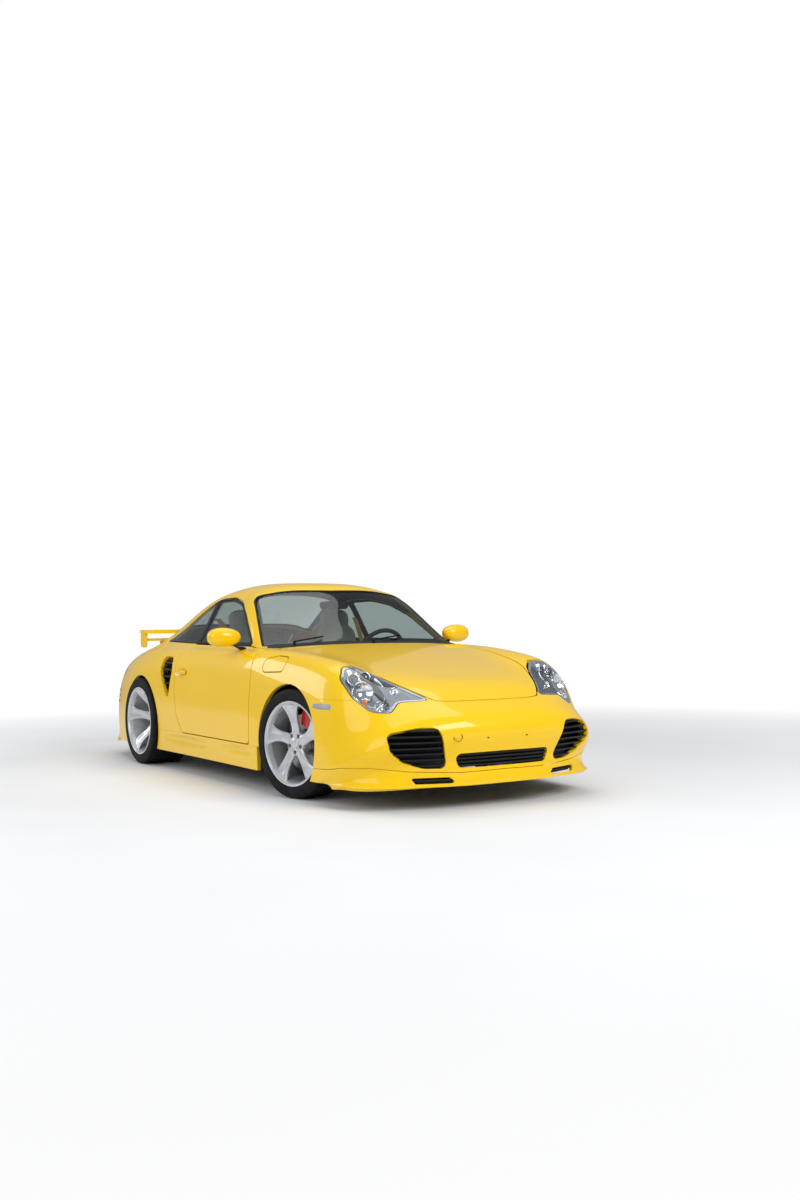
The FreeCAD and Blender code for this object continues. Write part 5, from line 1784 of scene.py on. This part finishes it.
    def tips(self) -> None:
        """Four bright exhaust tips, each closed a little way in by a dark disc of painted shade for the pipe's depth.
        """
        loop = Outline(Plane.FRONT, ((0, 30, 0), (0, 33, 2), (96, 34, 3), (96, 30.5, 2))).polyline()
        tube, end, back = lathe(loop, 28), plug(0, 0.004, 0.0302, 32, 0.0005), (0, 1, 0)
        tips = [facing(tube, back, (x, self.pipe_y, self.pipe_z)) for x in self.pipes]
        # Painted shade: a dark disc inside each tip stands for the shaded depth of the pipe
        ends = [facing(end, back, (x, self.pipe_y + 0.018, self.pipe_z)) for x in self.pipes]
        piece("exhaust_tips", "chassis", Finish.CHROME, joined(*tips))
        piece("exhaust_dark_ends", "chassis", Finish.DARK, joined(*ends))

    def intakes(self) -> None:
        """A scoop behind each door, the skin pushed in deeper towards the back and dark with painted shade, with four
        vanes.
        """
        base = self.skin.patch(*self.intake_grid)
        patch = self.skin.clip(base, all_of(inside(SIDE_INTAKE, -0.0008), OUTER_SIDE))
        p, n = self.skin.frame_at(patch.uv)
        start, length = self.scoop_y
        deep = (self.scoop[0] + self.scoop[1] * ease((p[:, 1] - start) / length))[:, None]
        scoop = sheet(patch, p - n * deep, p - n * (deep + self.scoop_wall))
        # Painted shade: the scoop is dark for the shade deep inside the intake
        piece("side_intake_scoops", "chassis", Finish.DARK, pair(scoop), ["side_intakes"])
        vanes = []
        for z in self.vanes_z:
            loop = Outline(Plane.SIDE, ((1750, z, 0), (2000, z + 10, 0), (2000, z + 20, 0), (1750, z + 10, 0)))
            vanes.append(self.skin.plate(patch, inside(loop), *self.vane_layer))
        piece("side_intake_vanes", "chassis", Finish.BLACK_TRIM, pair(joined(*vanes)))

    def back(self) -> None:
        """The rear bumper's dark lower part, its blank plate frame and its small reflectors."""
        base = self.skin.patch(*self.back_grid)
        rear = above(1, self.rear_y)
        low = Outline(Plane.FRONT, ((0, 120, 0), (438, 120, 0), (424, 214, 30), (0, 222, 0)), True)
        valance = self.skin.plate(base, all_of(inside(low, 0.0, False), rear), *DECAL)
        piece("rear_valance", "chassis", Finish.BLACK_TRIM, valance)
        plate = Outline(Plane.FRONT, ((0, 392, 0), (268, 392, 18), (268, 520, 18), (0, 520, 0)), True)
        whole = all_of(inside(plate, 0.0, False), rear)
        ring = all_of(whole, lambda p: -plate.distance(p) - 0.006)
        plate_frame = self.skin.plate(self.skin.clip(base, whole), ring, *DECAL)
        piece("rear_plate_frame", "chassis", Finish.BLACK_TRIM, plate_frame)
        strip = Outline(Plane.FRONT, ((510, 322, 8), (640, 322, 8), (640, 346, 8), (510, 346, 8)))
        glint = self.skin.plate(base, all_of(inside(strip), rear), *DECAL)
        piece("rear_reflectors", "chassis", Finish.LAMP_RED, glint)

    def small_marks(self) -> None:
        """Painted shade in plate screw holes and round the tow eye's cover; the dark slots of the rear lid and corners.
        """
        # Painted shade: dark dots in the plate's screw holes and a dark ring in the gap round the towing eye's cover
        dot = plug(-0.003, 0.0006, 0.0042, 20)
        ring = lathe(Outline(Plane.FRONT, ((-3, 24, 0), (0.5, 24, 0), (0.5, 25.6, 0), (-3, 25.6, 0))).polyline(), 40)
        shade_spots = [facing(dot, (0.12 * s, -1.0, 0.18), (0.131 * s, -1.0038, 0.3825)) for s in (-1, 1)]
        shade_spots.append(facing(ring, (-0.22, -1.0, 0.22), (-0.322, -0.9938, 0.396)))
        piece("front_bumper_marks", "chassis", Finish.DARK, joined(*shade_spots))
        lid = self.skin.patch(*self.lid_grid)
        strips = []
        for y in self.lid_slots_y:
            loop = Outline(Plane.TOP, ((0, y, 0), (400, y - 6, 8), (400, y + 10, 8), (0, y + 16, 0)), True)
            strips.append(self.skin.plate(lid, all_of(inside(loop, 0.0, False), GLASS_FACE), *LID_DECAL))
        piece("rear_lid_slots", "rear_lid", Finish.BLACK_TRIM, joined(*strips))
        corner = self.skin.patch(*self.corner_grid)
        strips = []
        for z in self.corner_slots_z:
            loop = Outline(Plane.SIDE, ((3000, z, 10), (3150, z + 2, 10), (3150, z + 24, 10), (3000, z + 22, 10)))
            strips.append(self.skin.plate(corner, all_of(inside(loop), above(0, 0.6)), *DECAL))
        piece("rear_corner_slots", "chassis", Finish.BLACK_TRIM, pair(joined(*strips)))

    def markers(self) -> None:
        """The small side lamps, set in the bumper's skin."""
        base = self.skin.patch(*self.marker_grid)
        lens = self.skin.plate(base, all_of(inside(MARKER, -0.002), below(1, 0.0)), *self.marker_layer)
        piece("side_marker_lenses", "chassis", Finish.SILVER_LENS, pair(lens), ["side_markers"])


@dataclass
class Cabin:
    """Seats, belts and the roof's lining, which show through the glass."""

    skin: Skin
    seat_x: float = 0.370
    fill: float = 0.35
    voxel: float = 0.0088
    swell: float = 0.012
    # Half sizes, place and tip in degrees of each cushion
    cushions: tuple = (((0.150, 0.235, 0.070), (0, 1.200, 0.365), -3),
                       ((0.060, 0.250, 0.082), (0.185, 1.190, 0.385), -3),
                       ((0.060, 0.250, 0.082), (-0.185, 1.190, 0.385), -3),
                       ((0.140, 0.060, 0.270), (0, 1.530, 0.640), -20),
                       ((0.062, 0.075, 0.260), (0.180, 1.512, 0.610), -20),
                       ((0.062, 0.075, 0.260), (-0.180, 1.512, 0.610), -20),
                       ((0.160, 0.050, 0.130), (0, 1.620, 0.900), -17), ((0.115, 0.042, 0.085), (0, 1.655, 1.050), -10),
                       ((0.150, 0.040, 0.030), (0, 1.250, 0.275), 0))
    # The left belt's way from the door post down to beside the seat
    belt: tuple = ((0.560, 1.690, 1.060), (0.545, 1.640, 1.040), (0.535, 1.560, 0.930), (0.560, 1.480, 0.720),
                   (0.600, 1.420, 0.450), (0.620, 1.400, 0.300))
    belt_half: float = 0.023
    belt_thick: float = 0.0016
    lining: tuple = (0.0020, 0.0244, 0.0006)
    lining_grid: tuple = (0.030, (12.0, 21.0), (1.0, 15.0))
    lining_z: float = 1.10
    lining_edge: tuple = (0.010, 0.012)

    def build(self) -> None:
        """Builds the front seats, their belts and the lining."""
        one = channelled(*stuffed(joined(*self.seat()), self.voxel, self.swell))
        both = joined(*[moved(one, (x, 0.0, 0.0)) for x in (-self.seat_x, self.seat_x)])
        seats = piece("front_seat_cushions", "chassis", Finish.LEATHER, both, ["front_seats"])
        self.belts()
        self.headliner()

    def seat(self) -> list[Shape]:
        """A squab, a back and a head part, each with raised sides, about the car's middle."""
        return [turned(pillow(half, 2.8, 22), "X", math.radians(tip), at) for half, at, tip in self.cushions]

    def belts(self) -> None:
        """A yellow belt on each side, from the door post down over the seat's shoulder."""
        straps = []
        for s in (-1, 1):
            path = curve(np.array(self.belt) * [s, 1, 1], 30)
            straps.append(strap(path, (1.0, 0.25 * s, 0.0), self.belt_half, self.belt_thick))
        piece("seat_belts", "chassis", Finish.BELT, joined(*straps))

    def headliner(self) -> None:
        """The roof's lining, just under the shell."""
        base = self.skin.patch(*self.lining_grid)
        door, screen = self.lining_edge
        side = all_of(inside(SIDE_GLASS, door), inside(SIDE_LIMIT, door))
        for field in (above(2, self.lining_z), hole(WINDSCREEN, screen, GLASS_FACE),
                      hole(REAR_WINDOW, screen, GLASS_FACE)):
            base = self.skin.clip(base, field)
        lining = self.skin.plate(base, lambda p: -side(p), *self.lining)
        piece("headliner", "chassis", Finish.CLOTH, lining)


def stuffed(shape: Shape, voxel: float, cap: float, pressure: float = 4.0, frames: int = 20) -> tuple[Array, Array]:
    """Joins cushion parts into one cover and swells it with air.

    Args:
        shape: the parts, slightly smaller than the finished cushion.
        voxel: the cover's cell width.
        cap: the furthest that any point may move.
        pressure: pressure of the air.
        frames: frames of the simulation.

    Returns:
        Points and triangles, in the car frame.
    """
    obj = mesh_object("cushion_cover", shape[0], shape[1])
    cover = obj.modifiers.new("cover", "REMESH")
    cover.mode = "VOXEL"
    cover.voxel_size = voxel
    done = bpy.data.meshes.new_from_object(obj.evaluated_get(bpy.context.evaluated_depsgraph_get()))
    obj.modifiers.clear()
    obj.data = done
    done.calc_loop_triangles()
    tris = np.empty(len(done.loop_triangles) * 3, np.int32)
    done.loop_triangles.foreach_get("vertices", tris)
    start = after = places(done)
    cloth = obj.modifiers.new("air", "CLOTH")
    cloth.settings.use_pressure = True
    cloth.settings.uniform_pressure_force = pressure
    cloth.settings.effector_weights.gravity = 0.0
    cloth.settings.quality = 3
    scene = bpy.context.scene
    for k in range(1, frames + 1):
        scene.frame_set(k)
    after = places(obj.evaluated_get(bpy.context.evaluated_depsgraph_get()).data)
    scene.frame_set(1)
    move = after - start
    far = np.linalg.norm(move, axis=1, keepdims=True)
    out = start + move * np.minimum(1.0, cap / np.maximum(far, 1e-9))
    LOG.info("cushion cover: %d points, moved up to %.1f mm", len(out), float(far.max()) * 1000)
    bpy.data.objects.remove(obj)
    return out.astype(float) - np.array([0.0, AXLE_Y, 0.0]), tris.reshape(-1, 3)


def places(mesh: bpy.types.Mesh) -> Array:
    """A mesh's vertices.

    Args:
        mesh: the mesh.

    Returns:
        Their places, shape (n, 3).
    """
    out = np.empty(len(mesh.vertices) * 3, np.float32)
    mesh.vertices.foreach_get("co", out)
    return out.reshape(-1, 3)


def channelled(points: Array, tris: Array) -> Shape:
    """The seat cover with sewn channels, a bell-shaped groove every 72 mm along the middle of the squab and the back.

    Args:
        points: the cover's points.
        tris: its triangles.

    Returns:
        The mesh, pressed down on the squab and back on the backrest.
    """
    x, y, z = points.T
    fold_y = 1.42
    seat = (z > 0.34) & (y < fold_y)
    back = (z > 0.46) & (y >= fold_y) & (z < 0.86)
    middle = np.clip((0.150 - np.abs(x)) / 0.02, 0, 1)
    groove = 0.005 * np.exp(-((np.mod(np.where(seat, y, z), 0.072) - 0.036) / 0.006) ** 2) * middle
    border = 0.006 * np.exp(-((np.abs(x) - 0.152) / 0.005) ** 2)
    depth = np.where(seat | back, np.maximum(groove, border), 0.0)
    out = points.copy()
    out[:, 2] -= np.where(seat, depth, 0.0)
    out[:, 1] += np.where(back & ~seat, depth, 0.0)
    return out, tris, None


@dataclass(frozen=True)
class Lamp:
    """A square studio light: its name, its place, where it looks, its width and its power."""

    name: str
    at: tuple
    to: tuple
    size: float
    power: float

    def build(self) -> None:
        """Hangs the light."""
        data = bpy.data.lights.new(self.name, "AREA")
        data.shape = "SQUARE"
        data.size = self.size
        data.energy = self.power
        lamp = bpy.data.objects.new(self.name, data)
        lamp.matrix_world = look(np.array(self.at, float), np.array(self.to) - np.array(self.at))
        bpy.context.scene.collection.objects.link(lamp)


@dataclass
class Studio:
    """The floor, the light and the camera."""

    lens: float = 37.22
    sensor: float = 36.0
    eye: tuple = (-4.0625, -7.7098, 1.0011)
    yaw: float = math.radians(31.5235)
    pitch: float = math.radians(1.1403)
    roll: float = math.radians(-0.7624)
    floor_half: float = 60.0
    fade: tuple = (2.6, 7.0)
    lamps: tuple = (Lamp("key", (1.5, -7.5, 4.8), (0.0, -0.6, 0.5), 3.6, 340.0),
                    Lamp("fill", (-6.0, -2.5, 3.0), (0.0, 0.0, 0.5), 4.0, 110.0),
                    Lamp("top", (0.0, 0.5, 6.5), (0.0, 0.4, 0.0), 6.0, 190.0),
                    Lamp("back", (-5.5, 6.0, 3.5), (0.0, 1.0, 0.6), 3.5, 130.0))

    def build(self) -> None:
        """Sets the whole stage."""
        self.floor()
        self.world()
        for lamp in self.lamps:
            lamp.build()
        self.camera()
        bpy.context.scene.view_settings.view_transform = "Standard"

    def floor(self) -> None:
        """A wide pale floor with a faint grain, which fades to white far from the car."""
        corners = np.array([(-1, -1, 0), (1, -1, 0), (1, 1, 0), (-1, 1, 0)], float) * self.floor_half
        obj = mesh_object("floor", corners, np.array([[0, 1, 2, 3]]))
        k = Rule("floor")
        tint = k.blend(k.span(k.noise(0.7, 5.0), 0.3, 0.7), (0.80, 0.80, 0.80), (0.86, 0.86, 0.86))
        plain = k.add("ShaderNodeBsdfPrincipled", {"Base Color": tint, "Roughness": 0.75})
        away = k.add("ShaderNodeVectorMath", {0: k.place()}, operation="LENGTH")
        far = k.span(away.outputs["Value"], *self.fade)
        seen = k.add("ShaderNodeMath", {0: far, 1: k.add("ShaderNodeLightPath").outputs["Is Camera Ray"]},
                     operation="MULTIPLY")
        white = k.add("ShaderNodeEmission", {"Color": (1.0, 1.0, 1.0, 1.0), "Strength": 1.0})
        obj.data.materials.append(k.mixed(seen.outputs[0], plain, white))

    def world(self) -> None:
        """White where the camera looks, also through glass, and a plain grey-blue light for the rest."""
        world = bpy.data.worlds.new("studio")
        bpy.context.scene.world = world
        k = Rule("studio", world)
        path = k.add("ShaderNodeLightPath").outputs
        seen = k.add("ShaderNodeMath", {0: path["Is Camera Ray"], 1: path["Is Transmission Ray"]}, operation="MAXIMUM")
        dim = k.add("ShaderNodeBackground", {0: (0.62, 0.66, 0.72, 1), 1: 0.55})
        bright = k.add("ShaderNodeBackground", {0: (1, 1, 1, 1)})
        k.mixed(seen.outputs[0], dim, bright)

    def camera(self) -> None:
        """The camera that took the photograph, placed by its yaw, pitch and roll."""
        sy, cy, sp, cp = math.sin(self.yaw), math.cos(self.yaw), math.sin(self.pitch), math.cos(self.pitch)
        ahead = np.array([sy * cp, cy * cp, sp])
        level = np.array([cy, -sy, 0.0])
        upright = np.cross(level, ahead)
        right = math.cos(self.roll) * level + math.sin(self.roll) * upright
        up = -math.sin(self.roll) * level + math.cos(self.roll) * upright
        data = bpy.data.cameras.new("camera")
        data.lens = self.lens
        data.sensor_width = self.sensor
        data.sensor_height = self.sensor
        data.sensor_fit = "VERTICAL"
        cam = bpy.data.objects.new("camera", data)
        cam.matrix_world = placement(self.eye, right, up, -ahead)
        bpy.context.scene.collection.objects.link(cam)
        bpy.context.scene.camera = cam


def placement(at: Sequence[float], x: Array, y: Array, z: Array) -> Matrix:
    """The matrix of an object.

    Args:
        at: its place.
        x: where its X axis points.
        y: where its Y axis points.
        z: where its Z axis points.

    Returns:
        The matrix.
    """
    m = np.eye(4)
    m[:3, :3] = np.stack([x, y, z], axis=1)
    m[:3, 3] = at
    return Matrix(m.tolist())


def look(eye: Array, ahead: Array) -> Matrix:
    """A placement whose -Z looks ahead and whose X stays level.

    Args:
        eye: the place.
        ahead: where it looks, of any length.

    Returns:
        The matrix.
    """
    d = ahead / np.linalg.norm(ahead)
    right = np.cross(d, [0.0, 0.0, 1.0])
    right /= np.linalg.norm(right)
    return placement(eye, right, np.cross(right, d), -d)


def dress_frame() -> None:
    """Gives every CAD node the finish of its material slot."""
    record = frame["record"]
    slots = {n["name"]: n.get("material") for n in record.get("nodes", [])} if isinstance(record, dict) else {}
    for name, obj in frame["nodes"].items():
        for k, holder in enumerate(obj.data.materials):
            key = holder.name.split(".")[0] if holder else slots.get(name, "")
            if key in SLOTS:
                obj.data.materials[k] = PAINTS.get(SLOTS[key])
            else:
                LOG.warning("no finish for %s on %s", key, name)


def main() -> None:
    """Builds the dressed car and its stage."""
    logging.basicConfig(level=logging.INFO, format="%(message)s")
    dress_frame()
    skin = Skin()
    wheels = [Wheel(f"{end}_{side}", axle, side == "left") for end, axle in (("front", FRONT_AXLE), ("rear", REAR_AXLE))
              for side in ("left", "right")]
    for part in (Bodywork(skin), Glazing(skin), Headlamps(skin), *wheels, Outside(skin), Cabin(skin), Studio()):
        part.build()


if __name__ == "__main__":
    main()
